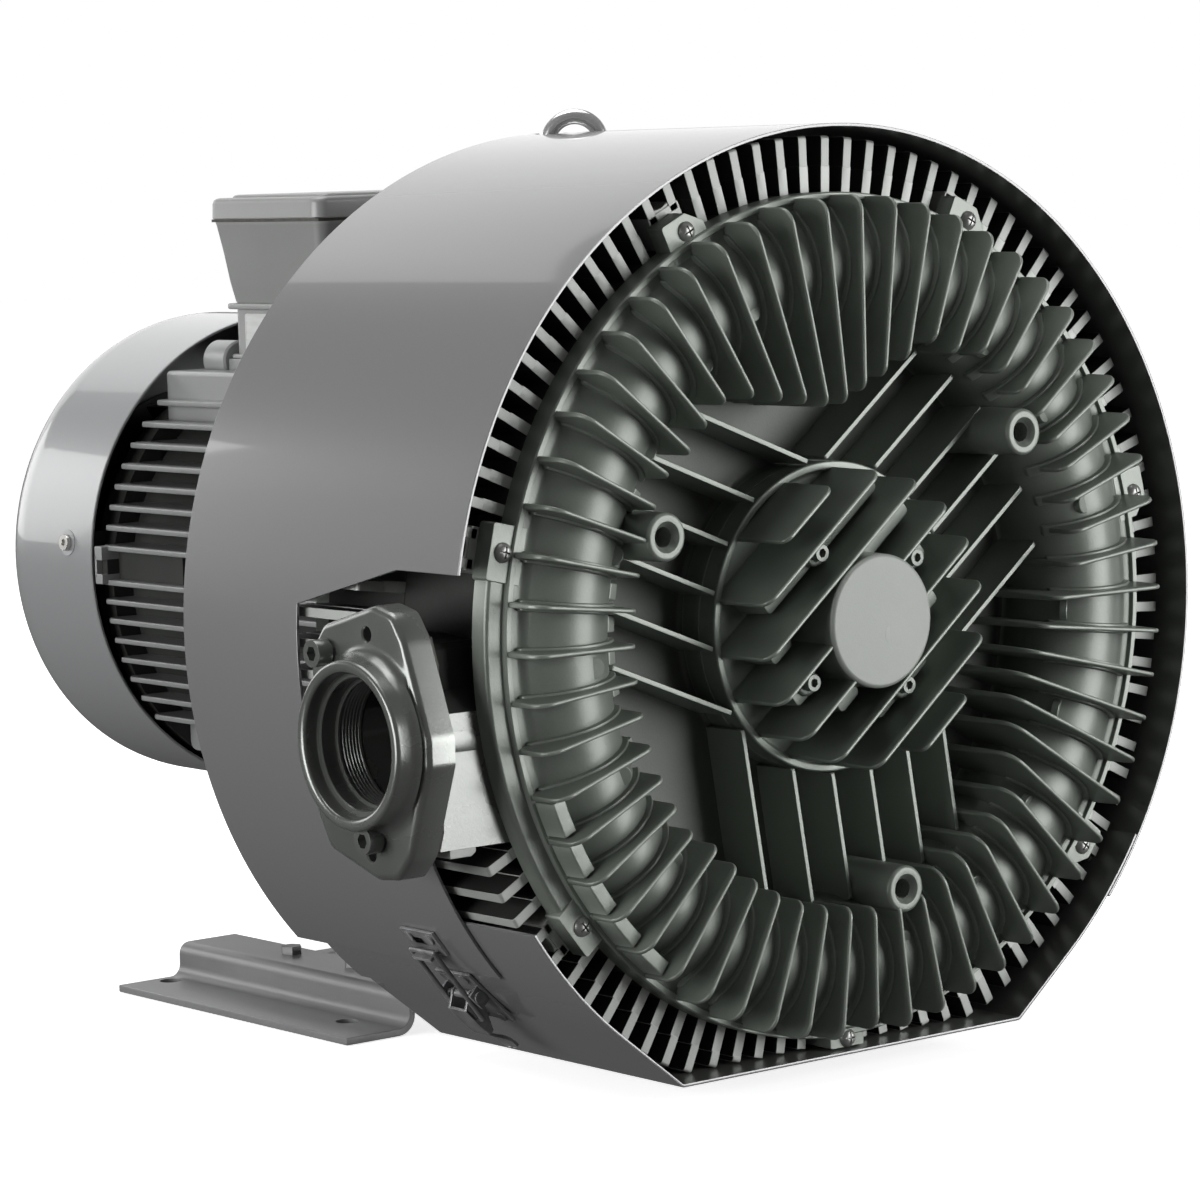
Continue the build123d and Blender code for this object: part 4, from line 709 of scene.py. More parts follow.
def neck(P, sign):
    """Square port neck with a stepped lower edge, on the left (-1) or the right (+1)."""
    poly = [(-299.9, -110), (-299.9, 14), (-250, 14), (-236, 4), (-236, -100), (-250, -104), (-268, -104), (-270, -110)]
    bore = []
    m = Matrix.Identity(4)
    if sign > 0:
        m = shift(0, SYM, 0) @ Matrix.Rotation(pi, 4, 'Z') @ shift(0, -SYM, 0)
    # four walls round the bore and the face they carry
    n = 72
    loops = []
    for x, rr in ((-298.4, 36.4), (-298.4, None), (-262.0, None), (-240.0, None), (-240.0, 36.4)):
        lp = []
        for i in range(n):
            t = 2 * pi * i / n
            c, s = cos(t), sin(t)
            if rr is None:
                hy0, hy1, hz = 35.9, 41.0, 64.0 if s < 0 else 58.0
                k = min((hy0 if c > 0 else hy1) / max(abs(c), 1e-6), hz / max(abs(s), 1e-6))
                if c > 0 and PZ + s * k > -30.5:
                    k = max(38.0, min(24.5 / max(abs(c), 1e-6), 56.0 / max(abs(s), 1e-6)))
                lp.append((x, IN_Y - c * k, PZ + s * k))
            else:
                lp.append((x, IN_Y - c * rr, PZ + s * rr))
        loops.append(lp)
    v = [p for lp in loops for p in lp]
    f = []
    k = len(loops)
    for i in range(k):
        j = (i + 1) % k
        for q in range(n):
            p = (q + 1) % n
            f.append((i * n + q, i * n + p, j * n + p, j * n + q))
    nk = cook(v, f, 1.2, 3, 40)
    n0 = len(P.f)
    P.add(nk, m, mat=3)
    # the upper part of the neck, above z = -32, takes the near-black colour: painted shade
    for i_, q_ in enumerate(nk[1]):
        zc_ = sum(Vector(nk[0][j_]).z for j_ in q_) / len(q_)
        if zc_ > -32.0:
            P.m[n0 + i_] = 2
    # stepped skirt below the neck on the front side
    sk = fil([(-291, -115.5), (-291, -108), (-272, -108), (-272, -113), (-275.5, -115.5)], 0.8, 2)
    P.add(slab(sk, 22.0, 60.0, w=0.6), m)


P = Piece()
bars(P, SPLIT1 + 0.1, SPLIT2 - 0.1, True, True)
neck(P, -1)
P.add(lathe([(26.4, 87), (249, 87), (249, 103.9), (26.4, 103.9)], 96))
P.build("middle_casting", "housing", [CAST_BARS, CAST, SHADE_VOID, PORTM], ("middle_casing",), "middle_casing", sharp=36)

P = Piece()
bars(P, SPLIT2 + 0.1, YB - SPLIT1, False, False)
neck(P, 1)
am = 62.0
shell = [(40, YB - 52), (40, 162), (28, 162), (28, 190), (50, 190), (50, 222), (52, 222), (52, 239.9), (161, 239.9), (162, 239), (162, 224)] + arc(170, 200, 5, 140, 180, 3)[:1] + [(175, 196)]
shell += [(RM + RT * cos(rad(p)), YB - YC + RT * sin(rad(p))) for p in [180 - (180 - 38) * i / 30 for i in range(31)]]
shell += [(248, YB - 7.5), (257.9, YB - 8), (R_FL, YB - 8.8), (R_FL, YB - 22), (246.9, YB - 22), (246.9, YB - 30), (181.5, YB - 30), (181.5, YB - 52)]
P.add(lathe(shell, 224), mat=1)
rw = plate(fil([(150, 200), (150, 239.5), (222, 239.5), (236, 214), (236, 200)], [0, 2, 8, 6, 0], 4), lambda r, y: 3.0, w=1.0)
for a in range(0, 360, 20):
    if abs((a - 90 + 180) % 360 - 180) > 12 and abs((a - 270 + 180) % 360 - 180) > 25:
        P.add(rw, turn(a), mat=1)
lb = fil([(-24, 228), (24, 228), (24, 274), (-24, 274)], 5, 4)
P.add(lift(lb, 172, 270, w=1.5), mat=1)
P.add(block(-24, 24, 196, 232, 150, 262, w=2), mat=1)
P.add(block(-88, 88, 200, 300, -262, -248, w=2), mat=1)
for x0, x1 in ((-70, -52), (52, 70)):
    P.add(slab([(x0, -250), (x1, -250), (x1, -sqrt(170.5 ** 2 - x1 * x1)), (x0, -sqrt(170.5 ** 2 - x0 * x0))], 190, 296, w=1.5), mat=1)
P.build("rear_casting", "housing", [CAST_BARS, CAST, SHADE_VOID, PORTM], ("rear_casing",), "rear_casing", sharp=36)

# ================================================================ ports
FL = [(-57, -44), (-57, 50), (-44, 66), (6, 80), (24, 76), (34, 62), (55, 6), (55, -10), (35, -64), (22, -78), (2, -80), (-44, -66)]


def outline_ray(poly, n):
    """Distance of a closed outline round the origin, along n rays."""
    out = []
    for i in range(n):
        t = 2 * pi * i / n
        d = Vector((cos(t), sin(t)))
        best = None
        for j in range(len(poly)):
            a, b = Vector(poly[j]), Vector(poly[(j + 1) % len(poly)])
            e = b - a
            den = d.x * e.y - d.y * e.x
            if abs(den) < 1e-9:
                continue
            s = (a.x * e.y - a.y * e.x) / den
            q = (a.x * d.y - a.y * d.x) / den
            if s > 0 and -1e-6 <= q <= 1 + 1e-6:
                best = s if best is None else max(best, s)
        out.append(best)
    return out


def port(name, node, sign):
    n = 180
    full = outline_ray(fil(FL, 8.5, 6), n)
    st = []            # (X, radius or list)
    st.append((0.0, [36.1] * n))
    st.append((0.0, full))
    st.append((15.6, full))
    for i in range(1, 6):
        t = rad(90.0 * i / 5)
        st.append((15.6 + 4.2 * sin(t), [r - 4.2 * (1 - cos(t)) for r in full]))
    st.append((20.0, [58.0] * n if False else [min(58.0, r - 4.6) for r in full]))
    st += [(20.5, [min(55.5, r - 5.0) for r in full]), (22.0, [53.2] * n), (25.0, [51.0] * n), (28.0, [49.9] * n), (34.0, [49.5] * n)]
    for i in range(1, 5):
        t = rad(90.0 * i / 4)
        st.append((34.4 + 2.4 * sin(t), [49.5 - 2.4 * (1 - cos(t))] * n))
    st += [(36.8, [44.6] * n), (36.2, [43.1] * n), (34.8, [42.2] * n), (27.6, [42.0] * n), (27.0, [41.4] * n), (27.0, [39.0] * n), (26.4, [38.5] * n), (17.0, [38.5] * n), (17.0, [36.6] * n), (16.5, [36.1] * n)]
    t = 15.0
    while t > 1.5:
        st += [(t, [36.1] * n), (t - 0.8, [37.2] * n), (t - 1.2, [37.2] * n), (t - 2.0, [36.1] * n)]
        t -= 2.3
    v, f = [], []
    for X, rr in st:
        for i in range(n):
            t = 2 * pi * i / n
            v.append((-300.0 - X, IN_Y - rr[i] * cos(t), PZ + rr[i] * sin(t)))
    k = len(st)
    for i in range(k):
        j = (i + 1) % k
        for q in range(n):
            p = (q + 1) % n
            f.append((i * n + q, i * n + p, j * n + p, j * n + q))
    P = Piece()
    m = Matrix.Identity(4)
    if sign > 0:
        m = shift(0, SYM, 0) @ Matrix.Rotation(pi, 4, 'Z') @ shift(0, -SYM, 0)
    P.add(cook(v, f), m)
    cut = []
    bm_ = [(12.2, 16), (12.2, 19.9), (11.2, 21.2), (11.0, 28.6)] + arc(9.7, 28.7, 1.3, 0, 90, 4) + [(8.8, 30.0), (8.6, 29.6), (8.6, 21.9), (0, 21.9), (0, 16)]
    for u, vv in ((-38.2, 50.2), (6.0, -55.0)):
        mm = m @ shift(-300, IN_Y - u, PZ + vv) @ Matrix.Rotation(rad(90), 4, 'Z')
        P.add(lathe([(r, y) for r, y in bm_], 40), mm)
    for u, vv in ((0.0, 63.0), (-2.0, -65.0)):
        mm = m @ shift(-300, IN_Y - u, PZ + vv) @ Matrix.Rotation(rad(90), 4, 'Z')
        cut.append(moved(lathe([(0, -5), (4.25, -5), (4.25, 19.0), (5.4, 20.3), (5.4, 30), (0, 30)], 32), mm))
    P.build(name, "housing", [PORTM], (node,), node, sharp=36, carve=cut)


port("inlet_port", "inlet_flange", -1)
port("outlet_port", "outlet_flange", 1)

# ================================================================ shroud
TS = 2.0


def sheet(name, cols, rows_of, alive, node, slot, cut=(), thick=TS):
    """Rolled sheet: cols are (x, z, nx, nz) stations, rows_of(i) the y rows, alive(i, r) says a cell is there."""
    bm = bmesh.new()
    vo, vi = [], []
    for i, (x, z, nx, nz) in enumerate(cols):
        ys = rows_of(i)
        vo.append([bm.verts.new((x, y, z)) for y in ys])
        vi.append([bm.verts.new((x - nx * thick, y, z - nz * thick)) for y in ys])
    nc, nr = len(cols), len(vo[0])

    def on(i, r):
        return 0 <= i < nc - 1 and 0 <= r < nr - 1 and alive(i, r)
    for i in range(nc - 1):
        for r in range(nr - 1):
            if not on(i, r):
                continue
            bm.faces.new((vo[i][r], vo[i + 1][r], vo[i + 1][r + 1], vo[i][r + 1]))
            # inner faces take the darker inside colour: painted shade
            bm.faces.new((vi[i][r + 1], vi[i + 1][r + 1], vi[i + 1][r], vi[i][r])).material_index = 1
            if not on(i - 1, r):
                bm.faces.new((vo[i][r], vo[i][r + 1], vi[i][r + 1], vi[i][r]))
            if not on(i + 1, r):
                bm.faces.new((vo[i + 1][r + 1], vo[i + 1][r], vi[i + 1][r], vi[i + 1][r + 1]))
            if not on(i, r - 1):
                bm.faces.new((vo[i + 1][r], vo[i][r], vi[i][r], vi[i + 1][r]))
            if not on(i, r + 1):
                bm.faces.new((vo[i][r + 1], vo[i + 1][r + 1], vi[i + 1][r + 1], vi[i][r + 1]))
    loose = [v for v in bm.verts if not v.link_faces]
    bmesh.ops.delete(bm, geom=loose, context='VERTS')
    bmesh.ops.recalc_face_normals(bm, faces=bm.faces)
    ed = [e for e in bm.edges if len(e.link_faces) == 2 and e.calc_face_angle(0.0) > rad(50)]
    bmesh.ops.bevel(bm, geom=ed, offset=0.45, offset_type='OFFSET', profile_type='SUPERELLIPSE', segments=2, profile=0.5, affect='EDGES', clamp_overlap=True, loop_slide=True)
    bm.verts.index_update()
    P = Piece()
    P.v = [v.co.copy() for v in bm.verts]
    P.f = [tuple(v.index for v in q.verts) for q in bm.faces]
    P.m = [q.material_index for q in bm.faces]
    bm.free()
    return P.build(name, "housing", [SHROUD, INNER_SHADE], (node,), slot, sharp=38, carve=cut, weighted=True)


RS = 300.0
ths = set([round(-42 + i * (264.0 / 264), 3) for i in range(265)])
zc = (50.0, 25.0, -118.0)
marks_l = [180 - math.degrees(math.asin(z / RS)) for z in zc]
marks_r = [math.degrees(math.asin(z / RS)) for z in (45.0, -122.0)]
ths = sorted([t for t in ths if all(abs(t - q) > 0.45 for q in marks_l + marks_r)] + marks_l + marks_r)
cols = [(RS * cos(rad(t)), RS * sin(rad(t)), cos(rad(t)), sin(rad(t))) for t in ths]


def up_rows(i):
    t = ths[i]
    z = RS * sin(rad(t))
    if t <= 40:
        return [0.0, 72.0, 240.0, 276.0]
    if t <= 130:
        k = (t - 40) / 90.0
        return [0.0, 72 + (30 - 72) * k, 240 + (155 - 240) * k, 276.0]
    if z >= 50.0 - 1e-6:
        k = max(0.0, min(1.0, (120.0 - z) / 70.0)) if z < 120 else 0.0
        return [0.0, 30.0, 155 + (59 - 155) * k, 276.0]
    if z >= 25.0 - 1e-6:
        return [0.0, 30.0, 59 + (50 - z) / 25.0 * 96.0, 276.0]
    if z > -118.0 + 1e-6:
        k = (25 - z) / 143.0
        return [0.0, 30 + 34 * k, 155.0, 276.0]
    return [0.0, 64 + (-118 - z) / 182.0 * 6.0, 155.0, 276.0]


def up_alive(i, r):
    t = (ths[i] + ths[i + 1]) / 2
    z = RS * sin(rad(t))
    x = RS * cos(rad(t))
    if x > 0 and t < 40:
        return not (-122.0 < z < 45.0 and r == 1)
    if x < 0 and t > 130:
        if z > 50:
            return True
        if z > -118:
            return r == 2
        return r >= 1
    return True


hole = []
for i in range(40):
    hole.append((26.0 * cos(2 * pi * i / 40), 252.0 + 26.0 * sin(2 * pi * i / 40)))
sheet("shroud_upper_sheet", cols, up_rows, up_alive, "shroud_upper", "shroud_upper", cut=[lift(hole, 280, 320)])

RL, FZ = 297.8, -269.3
tq = -128.5
px, pz = pol(RL, tq)
tx, tz = -sin(rad(tq)), cos(rad(tq))
kx = (FZ - pz) / tz
cx = px + kx * tx
st = []
for i in range(19):
    t = -146.7 + (tq + 146.7) * i / 18
    st.append((*pol(RL, t), cos(rad(t)), sin(rad(t))))
na = math.degrees(math.atan2(-0.0 + sin(rad(tq)), cos(rad(tq))))
for i in range(1, 6):
    k = i / 6.0
    st.append((px + (cx - px) * k, pz + (FZ - pz) * k, cos(rad(tq)), sin(rad(tq))))
bend = 4.0
half = (tq + 90.0) / 2.0
# small bend at the corner
dlen = bend * abs(math.tan(rad((tq + 90.0) / 2.0)))
c0 = Vector((cx - tx * dlen, FZ - tz * dlen))
ctr = c0 - Vector((cos(rad(tq)), sin(rad(tq)))) * bend
for i in range(6):
    t = tq + (-90 - tq) * i / 5
    st.append((ctr.x + bend * cos(rad(t)), ctr.y + bend * sin(rad(t)), cos(rad(t)), sin(rad(t))))
for i in range(1, 16):
    x = (cx + dlen) + (-2 * (cx + dlen)) * i / 16.0
    st.append((x, FZ, 0.0, -1.0))
mir = [(-a, b, -c, d) for a, b, c, d in st if a < -1e-6 and not (b == FZ and abs(c) < 1e-9 and a > cx + dlen)]
st = [s for s in st if True]
left = [s for s in st if not (s[1] == FZ and abs(s[2]) < 1e-9)]
flat = [s for s in st if (s[1] == FZ and abs(s[2]) < 1e-9)]
right = [(-a, b, -c, d) for a, b, c, d in reversed(left)]
low_cols = left + flat + right


def low_rows(i):
    return [0.0, 120.0, 240.0, 250.0]


def low_alive(i, r):
    z = (low_cols[i][1] + low_cols[i + 1][1]) / 2
    return not (r == 2 and z < -227.0)


sheet("shroud_lower_sheet", low_cols, low_rows, low_alive, "shroud_lower", "shroud_lower")

# ================================================================ lifting eye
P = Piece()
ax = Vector((sin(rad(39)), cos(rad(39)), 0))
u = Vector((cos(rad(39)), -sin(rad(39)), 0))
c = Vector((0, 252, 292.5))
ring = [c + (u * cos(2 * pi * i / 72) + Vector((0, 0, 1)) * sin(2 * pi * i / 72)) * 17.5 for i in range(72)]
P.add(sweep(ring, 5.0, 24, True))
col = [(0, 253.5), (5, 253.5), (5, 270.2), (11.4, 270.2), (12.4, 271.0), (12.4, 275.2), (11.6, 276.2), (9.4, 277.2), (7.2, 279.0), (5.6, 281.5), (0, 281.5)]
P.add(lathe([(a, -b) for a, b in col], 40), shift(0, 252, 0) @ Matrix.Rotation(rad(-90), 4, 'X'))
P.build("lifting_eye", "housing", CHROME, ("eye_bolt",), "eye_bolt", sharp=50)

# ================================================================ motor
P = Piece()
FR, Y0, Y1 = 135.0, 240.1, 588.0
# the core between the fins takes the near-black colour: painted shade
P.add(lathe([(127, Y0), (135, Y0), (135, Y1 - 1), (134, Y1), (127, Y1)], 160), mat=1)
P.add(lathe(fil([(127, Y0), (160, Y0), (160, 256), (127, 256)], [0, 1, 2, 0], 3), 160))
for z in MOTOR_FIN_Z:
    w = sqrt(160.5 ** 2 - (z - 7.0) ** 2)
    xi = sqrt(max(134.0 ** 2 - z * z, 400.0)) - 2.0 if abs(z) < 133 else 20.0
    for s in (-1, 1):
        poly = fil([(s * xi, 254), (s * w, 254), (s * w, Y1), (s * xi, Y1)], [0, 1, 6, 0], 6)
        P.add(loft([[(x, y, z - 1.9) for x, y in poly], [(x, y, z + 1.9) for x, y in poly]], w=1.2, seg=3))
for k in range(-6, 7):
    x = 15.0 * k
    w = sqrt(152.0 ** 2 - x * x)
    zi = sqrt(133.0 ** 2 - x * x)
    poly = fil([(254, -zi), (254, -w), (Y1, -w), (Y1, -zi)], [0, 1, 7, 0], 5)
    P.add(loft([[(x - 1.8, y, z) for y, z in poly], [(x + 1.8, y, z) for y, z in poly]], w=1.0))
P.add(slab(fil([(-100, 104), (100, 104), (100, 144), (-100, 144)], [0, 0, 3, 3], 3), 254, Y1, w=1.6))
P.add(lift(fil([(-74, 425), (74, 425), (74, 560), (-74, 560)], 5, 4), 138, 152, w=1.2))
# cowl bracket between the two wide-set fins: upright plate with a square slot, and the pocket beside it; slot and
# pocket are filled with near-black blocks as painted shade
for s in (-1, 1):
    x0, x1 = sorted((s * 150.0, s * 165.0))
    P.add(block(x0, x1, 579.0, 588.0, 0.5, 7.5, w=0.8))
    P.add(block(x0, x1, 579.0, 588.0, 17.0, 26.5, w=0.8))
    P.add(block(*sorted((s * 150.0, s * 160.5)), 579.0, 588.0, 7.0, 17.5, w=0.5), mat=1)
    P.add(block(x0, x1, 585.6, 588.0, 5.0, 20.0, w=0.5))
    P.add(block(*sorted((s * 132.0, s * 151.0)), 500.0, 579.5, 2.0, 24.7, w=1.0), mat=1)
    P.add(block(*sorted((s * 150.5, s * 158.5)), 540.0, 579.5, 0.2, 2.8, w=0.6))
P.add(lathe([(0, 549), (12.6, 549), (14, 550.4), (14, 574.4), (12.6, 576), (10.8, 576), (10.4, 575.4), (10.4, 573.5), (0, 573.5)], 40), shift(-64, 0, 150))
P.build("motor_casting", "housing", [MOTOR, SHADE_VOID], ("motor_frame",), "motor_frame", sharp=38)

P = Piece()
CR = 166.5
UPC = shift(0, 0, 13.0)
cw = [(CR - 2, 590.2), (CR - 0.6, 590.0), (CR, 590.6), (CR, 640.0)]
arcp = []
cpts = [(CR, 640.0), (CR, 668.0), (CR - 0.25, 682.0), (164.0, 692.5), (158.0, 701.0), (149.0, 706.6), (138.0, 709.6), (122.0, 711.4), (104.0, 712.2)]
# smooth the outer outline with a Catmull-Rom curve
def crom(p, n=6):
    out = []
    q = [p[0]] + p + [p[-1]]
    for i in range(1, len(q) - 2):
        for k in range(n):
            t = k / n
            a, b, c2, d = (Vector(q[i - 1]), Vector(q[i]), Vector(q[i + 1]), Vector(q[i + 2]))
            out.append(tuple(0.5 * ((2 * b) + (c2 - a) * t + (2 * a - 5 * b + 4 * c2 - d) * t * t + (3 * b - a - 3 * c2 + d) * t ** 3)))
    out.append(p[-1])
    return out


oc = crom(cpts)
ic = [(max(104.0, r - 2.0), y - 2.0) for r, y in reversed(oc)]
ic = [(min(CR - 2, r), y) for r, y in ic]
P.add(lathe(cw + oc[1:] + ic + [(CR - 2, 640.0)], 192), UPC)
# dark inner screen behind the slots
P.add(lathe([(0, 706.0), (112, 704.0), (112, 705.2), (0, 707.2)], 96), UPC, mat=1)
for r0, r1 in ((0, 20), (28, 34), (42, 48), (56, 62), (70, 76), (84, 90), (98, 105)):
    yy = 715.6 - (r0 + r1) / 2 * 0.035
    pr = [(r0, yy - 2.2), (r0, yy - 0.4), (r0 + 0.5 if r0 else 0, yy), (r1 - 0.5, yy - 0.2), (r1, yy - 0.7), (r1, yy - 2.4)]
    P.add(lathe(pr, 96), UPC)
for k in range(4):
    P.add(loft([[(12, 711.5, -5.5), (104, 709.0, -13), (104, 709.0, 13), (12, 711.5, 5.5)], [(12, 714.6, -5.0), (104, 712.0, -12.5), (104, 712.0, 12.5), (12, 714.6, 5.0)]], w=0.5), UPC @ turn(90 * k))
for a in (175.0, 85.0, -5.0, -95.0):
    P.add(lathe([(0, 0.0), (8.4, 0.0), (9.0, 0.6), (9.0, 1.1), (8.0, 1.1), (0, 1.1)], 32), UPC @ turn(a) @ shift(CR - 0.8, 620, 0) @ Matrix.Rotation(rad(-90), 4, 'Z'))
P.build("fan_cowl_shell", "housing", [COWL, PLASTIC], ("fan_cowl",), "fan_cowl", sharp=36)

# ================================================================ terminal box
def rrect(x0, x1, y0, y1, r, n=5):
    return fil([(x0, y0), (x1, y0), (x1, y1), (x0, y1)], r, n)


P = Piece()
P.add(lift(rrect(-70, 70, 437, 546, 6), 151.9, 187, w=0.8))
P.add(lift(rrect(-75, 75, 432, 551, 7), 186.0, 190.1, w=1.1))
P.add(lift(rrect(-73.5, 73.5, 433.5, 549.5, 7), 151.9, 155.0, w=1.0))
P.build("terminal_neck_casting", "housing", BOXP, ("terminal_box_neck",), "terminal_box_neck", sharp=40)
P = Piece()
lps = []
for z, e in ((190.1, 0.0), (191.5, 0.9), (205.0, 3.3), (225.0, 6.0), (243.5, 9.0), (246.0, 9.6)):
    lps.append([(x, y, z) for x, y in rrect(-71 - e, 71 + e, 437 - e * 1.12, 546 + e * 1.0, 9, 6)])
P.add(loft(lps, w=0.0))
P.build("terminal_body_casting", "housing", BOXP, ("terminal_box_body",), "terminal_box_body", sharp=40)
P = Piece()
lps = []
for z, e in ((248.1, 0.6), (248.8, 0.0), (258.6, 0.3), (260.8, 0.9), (262.0, 2.1), (262.5, 3.8), (262.5, 11.0)):
    lps.append([(x, y, z) for x, y in rrect(-82 + e, 82 - e, 426 + e, 557 - e, 9, 6)])
P.add(loft(lps))
P.add(loft([[(x, y, z) for x, y in rrect(-82 + e, 82 - e, 426 + e, 557 - e, 7, 5)] for z, e in ((261.5, 10.5), (263.3, 11.2), (264.1, 12.0), (264.5, 13.4))]))
P.build("terminal_lid_casting", "housing", BOXP, ("terminal_box_lid",), "terminal_box_lid", sharp=40)

# blank rating plate with a thin rim and pins
P = Piece()
P.add(loft([[(-70.0, y, z) for y, z in rrect(450, 532, 156, 183, 2, 3)], [(-71.0, y, z) for y, z in rrect(450, 532, 156, 183, 2, 3)]], w=0.25))
for a, b, c0_, d in ((450.6, 531.4, 181.6, 182.5), (450.6, 531.4, 156.5, 157.4), (450.6, 451.5, 156.5, 182.5), (530.5, 531.4, 156.5, 182.5)):
    P.add(block(-71.2, -70.6, a, b, c0_, d, w=0.15))
P.build("blank_rating_plate", "housing", LABEL, ("rating_plate",), "rating_plate", sharp=40)

# ================================================================ feet
fp = [(-161, -285), (-118, -285)] + arc(-118, -272, 13, -90, 0, 8)[1:] + [(-105, -265)] + arc(-102, -265, 3, 180, 90, 4)[1:] + [(-62, -262), (-62, -257), (-102, -257)] + arc(-102, -265, 8, 90, 180, 7)[1:] + [(-110, -272)] + arc(-118, -272, 8, 0, -90, 7)[1:] + [(-161, -280)]


def foot(name, node, s):
    P = Piece()
    poly = [(s * x * -1, z) for x, z in fp]
    P.add(slab(poly, 314, 585, w=0.8, seg=2, ang=40))
    cut = []
    for y in (361.0, 571.0):
        cut.append(lift([(s * 127 + 7.5 * cos(2 * pi * i / 40), y + 7.5 * sin(2 * pi * i / 40)) for i in range(40)], -290, -275))
    for y in (345.0, 415.0, 490.0):
        cut.append(lift([(s * 80 + 4.2 * cos(2 * pi * i / 24), y + 4.2 * sin(2 * pi * i / 24)) for i in range(24)], -266, -250))
    P.build(name, "housing", FOOT, (node,), node, sharp=38, carve=cut, weighted=True)


foot("foot_left_plate", "foot_left", -1)
foot("foot_right_plate", "foot_right", 1)

# ================================================================ latch lever
def latch_frame(theta, r, y):
    c, s = cos(rad(theta)), sin(rad(theta))
    # local x down round the shell, local y towards the front, local z outward
    zx = Vector((c, 0, s))
    xx = Vector((-s, 0, c))
    yy = zx.cross(xx)
    o = Vector((r * c, y, r * s))
    return Matrix(((xx.x, yy.x, zx.x, o.x), (xx.y, yy.y, zx.y, o.y), (xx.z, yy.z, zx.z, o.z), (0, 0, 0, 1)))


PB = latch_frame(-133.5, 297.95, 118.0)
P = Piece()
heel = arc(-4.0, 6.0, 3.75, 120, 262, 8)
ear = heel + fil([(3.0, 2.6), (14.0, 8.0), (23.0, 12.4), (23.0, 16.4), (-2.0, 16.4)], [0, 4, 1, 0.6, 0], 4)
for y0 in (-9.0, 7.0):
    P.add(loft([[(x, y0, z) for x, z in ear], [(x, y0 + 2.0, z) for x, z in ear]], w=0.45), PB)
# tapered top plate running out into a rounded spoon tip
sec = [(-2, 9.0, 15.6), (8, 9.0, 15.8), (16, 8.8, 15.8), (23, 8.2, 15.3), (28, 7.0, 13.2), (33, 6.2, 10.9), (36.5, 6.4, 9.4), (39.5, 7.6, 8.6), (43, 8.2, 8.3), (46, 7.2, 8.3), (47.6, 4.6, 8.5), (48.0, 1.8, 8.6)]
lps = []
for x, hw, zc_ in sec:
    cup = -0.9 if x > 36 else 0.0
    lp = []
    for q in range(9):
        y = -hw + 2 * hw * q / 8
        lp.append((x, y, zc_ + 0.9 + cup * (1 - (y / hw) ** 2)))
    for q in range(9):
        y = hw - 2 * hw * q / 8
        lp.append((x, y, zc_ - 0.9 + cup * (1 - (y / hw) ** 2)))
    lps.append(lp)
P.add(loft(lps, w=0.35, ang=50), PB)
P.build("latch_lever_arm", "lever", DZINC, ("latch_lever",), "latch_lever", sharp=40)

# ================================================================ kept CAD nodes
KEEP = {
    SCREWZ: ["front_cover_screws"],
    CAST: ["hub_cover_screws"],
    PORTM: ["inlet_flange_screws", "outlet_flange_screws"],
    # the end shield inside the cowl takes the near-black colour: painted shade
    SHADE_VOID: ["nde_shield"],
    ZINC: ["shroud_rivets", "fan_cowl_screws", "terminal_box_screws"],
    DSTEEL: ["foot_bolts", "casing_foot_bolts"],
    DZINC: ["latch_base", "latch_hook", "latch_rivets", "latch_pin", "latch_bail"],
    BLACKST: ["casing_bolts", "motor_flange_screws", "nde_shield_screws", "fan_retaining_ring"],
    GASKET: ["inlet_gasket", "outlet_gasket", "terminal_box_gasket"],
    PLATEM: ["base_plate"],
    ESTEEL: ["stator_core", "rotor_core"],
    COPPER: ["stator_winding"],
    BOARD: ["terminal_board"],
    BRASS: ["terminal_studs"],
    PLASTIC: ["cable_entry_plugs", "cooling_fan"],
    MACH: ["shaft", "front_spacer", "impeller_spacer"],
    BEAR: ["front_bearing_outer", "front_bearing_inner", "drive_end_bearing_outer", "drive_end_bearing_inner", "rear_bearing_outer", "rear_bearing_inner"],
    ALLOY: ["front_impeller", "rear_impeller"],
    RUBBER: ["drive_end_seal"],
}
soft_edge = {"front_cover_screws": 0.25, "hub_cover_screws": 0.3, "inlet_flange_screws": 0.5, "outlet_flange_screws": 0.5, "shroud_rivets": 0.3, "fan_cowl_screws": 0.3,
             "latch_base": 0.35, "latch_hook": 0.35, "latch_rivets": 0.35, "latch_pin": 0.3, "base_plate": 0.7, "cable_entry_plugs": 0.5, "terminal_box_screws": 0.25, "foot_bolts": 0.4, "casing_foot_bolts": 0.4}
for mt, names in KEEP.items():
    for nm in names:
        ob = frame["nodes"][nm]
        ob.data.materials.clear()
        ob.data.materials.append(mt)
        w = ob.modifiers.new("weld", 'WELD')
        w.merge_threshold = 2e-6
        if nm in soft_edge:
            b = ob.modifiers.new("soft", 'BEVEL')
            b.width = soft_edge[nm] * 0.001
            b.segments = 2
            b.limit_method = 'ANGLE'
            b.angle_limit = rad(35)
            b.use_clamp_overlap = True

# ================================================================ stage
def area(name, loc, target, sx, sy, power, color=(1, 1, 1), spread=180.0):
    ld = bpy.data.lights.new(name, 'AREA')
    ld.shape = 'RECTANGLE'
    ld.size, ld.size_y = sx, sy
    ld.energy = power
    ld.color = color
    ld.spread = rad(spread)
    ob = bpy.data.objects.new(name, ld)
    bpy.context.scene.collection.objects.link(ob)
    ob.location = loc
    d = (Vector(target) - Vector(loc)).normalized()
    ob.rotation_euler = d.to_track_quat('-Z', 'Y').to_euler()
    return ob


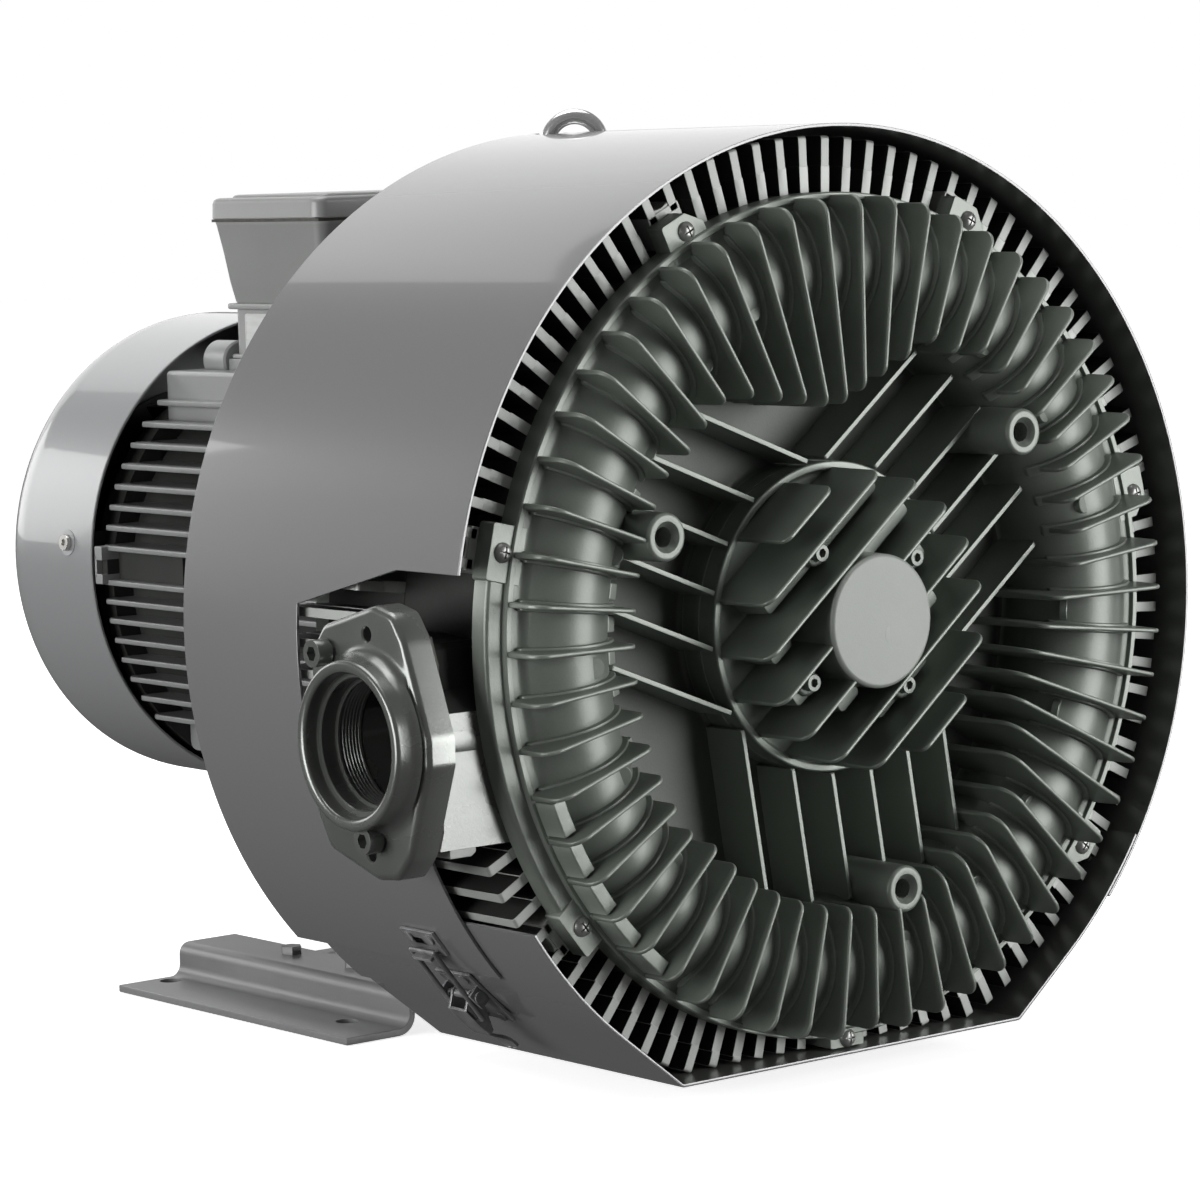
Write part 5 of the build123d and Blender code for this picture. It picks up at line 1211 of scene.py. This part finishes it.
floor_mesh = bpy.data.meshes.new("floor")
R = 14.0
floor_mesh.from_pydata([(-R, -R, 0), (R, -R, 0), (R, R, 0), (-R, R, 0)], [], [(0, 1, 2, 3)])
fm = bpy.data.materials.new("pale_floor")
fm.use_nodes = True
nt = fm.node_tree
bs = nt.nodes["Principled BSDF"]
bs.inputs['Roughness'].default_value = 0.9
bs.inputs['Specular IOR Level'].default_value = 0.1
nn = nt.nodes.new('ShaderNodeTexNoise')
nn.inputs['Scale'].default_value = 3.0
rr = nt.nodes.new('ShaderNodeValToRGB')
rr.color_ramp.elements[0].color = (0.80, 0.80, 0.80, 1)
rr.color_ramp.elements[1].color = (0.82, 0.82, 0.82, 1)
nt.links.new(nn.outputs['Fac'], rr.inputs['Fac'])
nt.links.new(rr.outputs['Color'], bs.inputs['Base Color'])
bs.inputs['Emission Color'].default_value = (1, 1, 1, 1)
bs.inputs['Emission Strength'].default_value = 0.80
floor_mesh.materials.append(fm)
floor = bpy.data.objects.new("floor", floor_mesh)
bpy.context.scene.collection.objects.link(floor)
floor.location = (0, 0, -0.0006)
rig.stage(floor)
floor.visible_diffuse = False
floor.visible_glossy = False

# overhead softbox: its back edge is what the side of the shroud mirrors
area("key_top", (0.1, 0.5, 3.0), (0.1, 0.2, 0), 2.6, 2.0, 54)
bk = area("sweep_back", (1.62, 3.05, 2.05), (1.62, 0.0, 2.05), 3.9, 2.5, 34)
area("key_front", (2.1, -3.1, 0.55), (0.0, -0.45, 0.26), 2.2, 2.3, 120)
area("fill_left", (-3.2, 0.2, 0.45), (0, -0.05, 0.26), 2.6, 1.7, 108)
area("fill_right", (3.2, 0.6, 0.75), (0, -0.05, 0.3), 3.0, 2.2, 20)
area("fill_back", (-1.2, 3.2, 1.0), (0, 0.1, 0.3), 1.6, 1.4, 22)
sd = bpy.data.lights.new("sweep", 'SUN')
sd.energy = 0.7
sd.angle = rad(35)
so = bpy.data.objects.new("sweep", sd)
bpy.context.scene.collection.objects.link(so)

w = bpy.data.worlds.new("studio")
bpy.context.scene.world = w
w.use_nodes = True
nt = w.node_tree
nt.nodes.clear()
wo = nt.nodes.new('ShaderNodeOutputWorld')
b1 = nt.nodes.new('ShaderNodeBackground')
b1.inputs['Color'].default_value = (1, 1, 1, 1)
b1.inputs['Strength'].default_value = 1.0
b2 = nt.nodes.new('ShaderNodeBackground')
b2.inputs['Color'].default_value = (1, 1, 1, 1)
b2.inputs['Strength'].default_value = 0.09
mixs = nt.nodes.new('ShaderNodeMixShader')
lp = nt.nodes.new('ShaderNodeLightPath')
nt.links.new(lp.outputs['Is Camera Ray'], mixs.inputs[0])
nt.links.new(b2.outputs[0], mixs.inputs[1])
nt.links.new(b1.outputs[0], mixs.inputs[2])
nt.links.new(mixs.outputs[0], wo.inputs[0])

# camera
yaw, pitch, roll = rad(38.877), rad(5.769), rad(-1.622)
d = Vector((sin(yaw) * cos(pitch), cos(yaw) * cos(pitch), -sin(pitch)))
right = d.cross(Vector((0, 0, 1))).normalized()
up = right.cross(d)
r2 = right * cos(roll) + up * sin(roll)
u2 = -right * sin(roll) + up * cos(roll)
cam = bpy.data.cameras.new("view")
cam.lens = 132.16
cam.sensor_width = 36.0
cam.clip_end = 60.0
co = bpy.data.objects.new("view", cam)
bpy.context.scene.collection.objects.link(co)
co.matrix_world = Matrix(((r2.x, u2.x, -d.x, -1.79206), (r2.y, u2.y, -d.y, -2.44952), (r2.z, u2.z, -d.z, 0.56988), (0, 0, 0, 1)))
bpy.context.scene.camera = co
bpy.context.scene.view_settings.view_transform = 'Standard'
bpy.context.scene.view_settings.look = 'None'

bpy.context.view_layer.update()
VIS_BOX = [list(map(float, c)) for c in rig.bounds()]
try:
    with open("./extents.json", "w") as fh:
        json.dump({"cad": CAD_BOX, "visual": VIS_BOX}, fh)
except OSError:
    pass
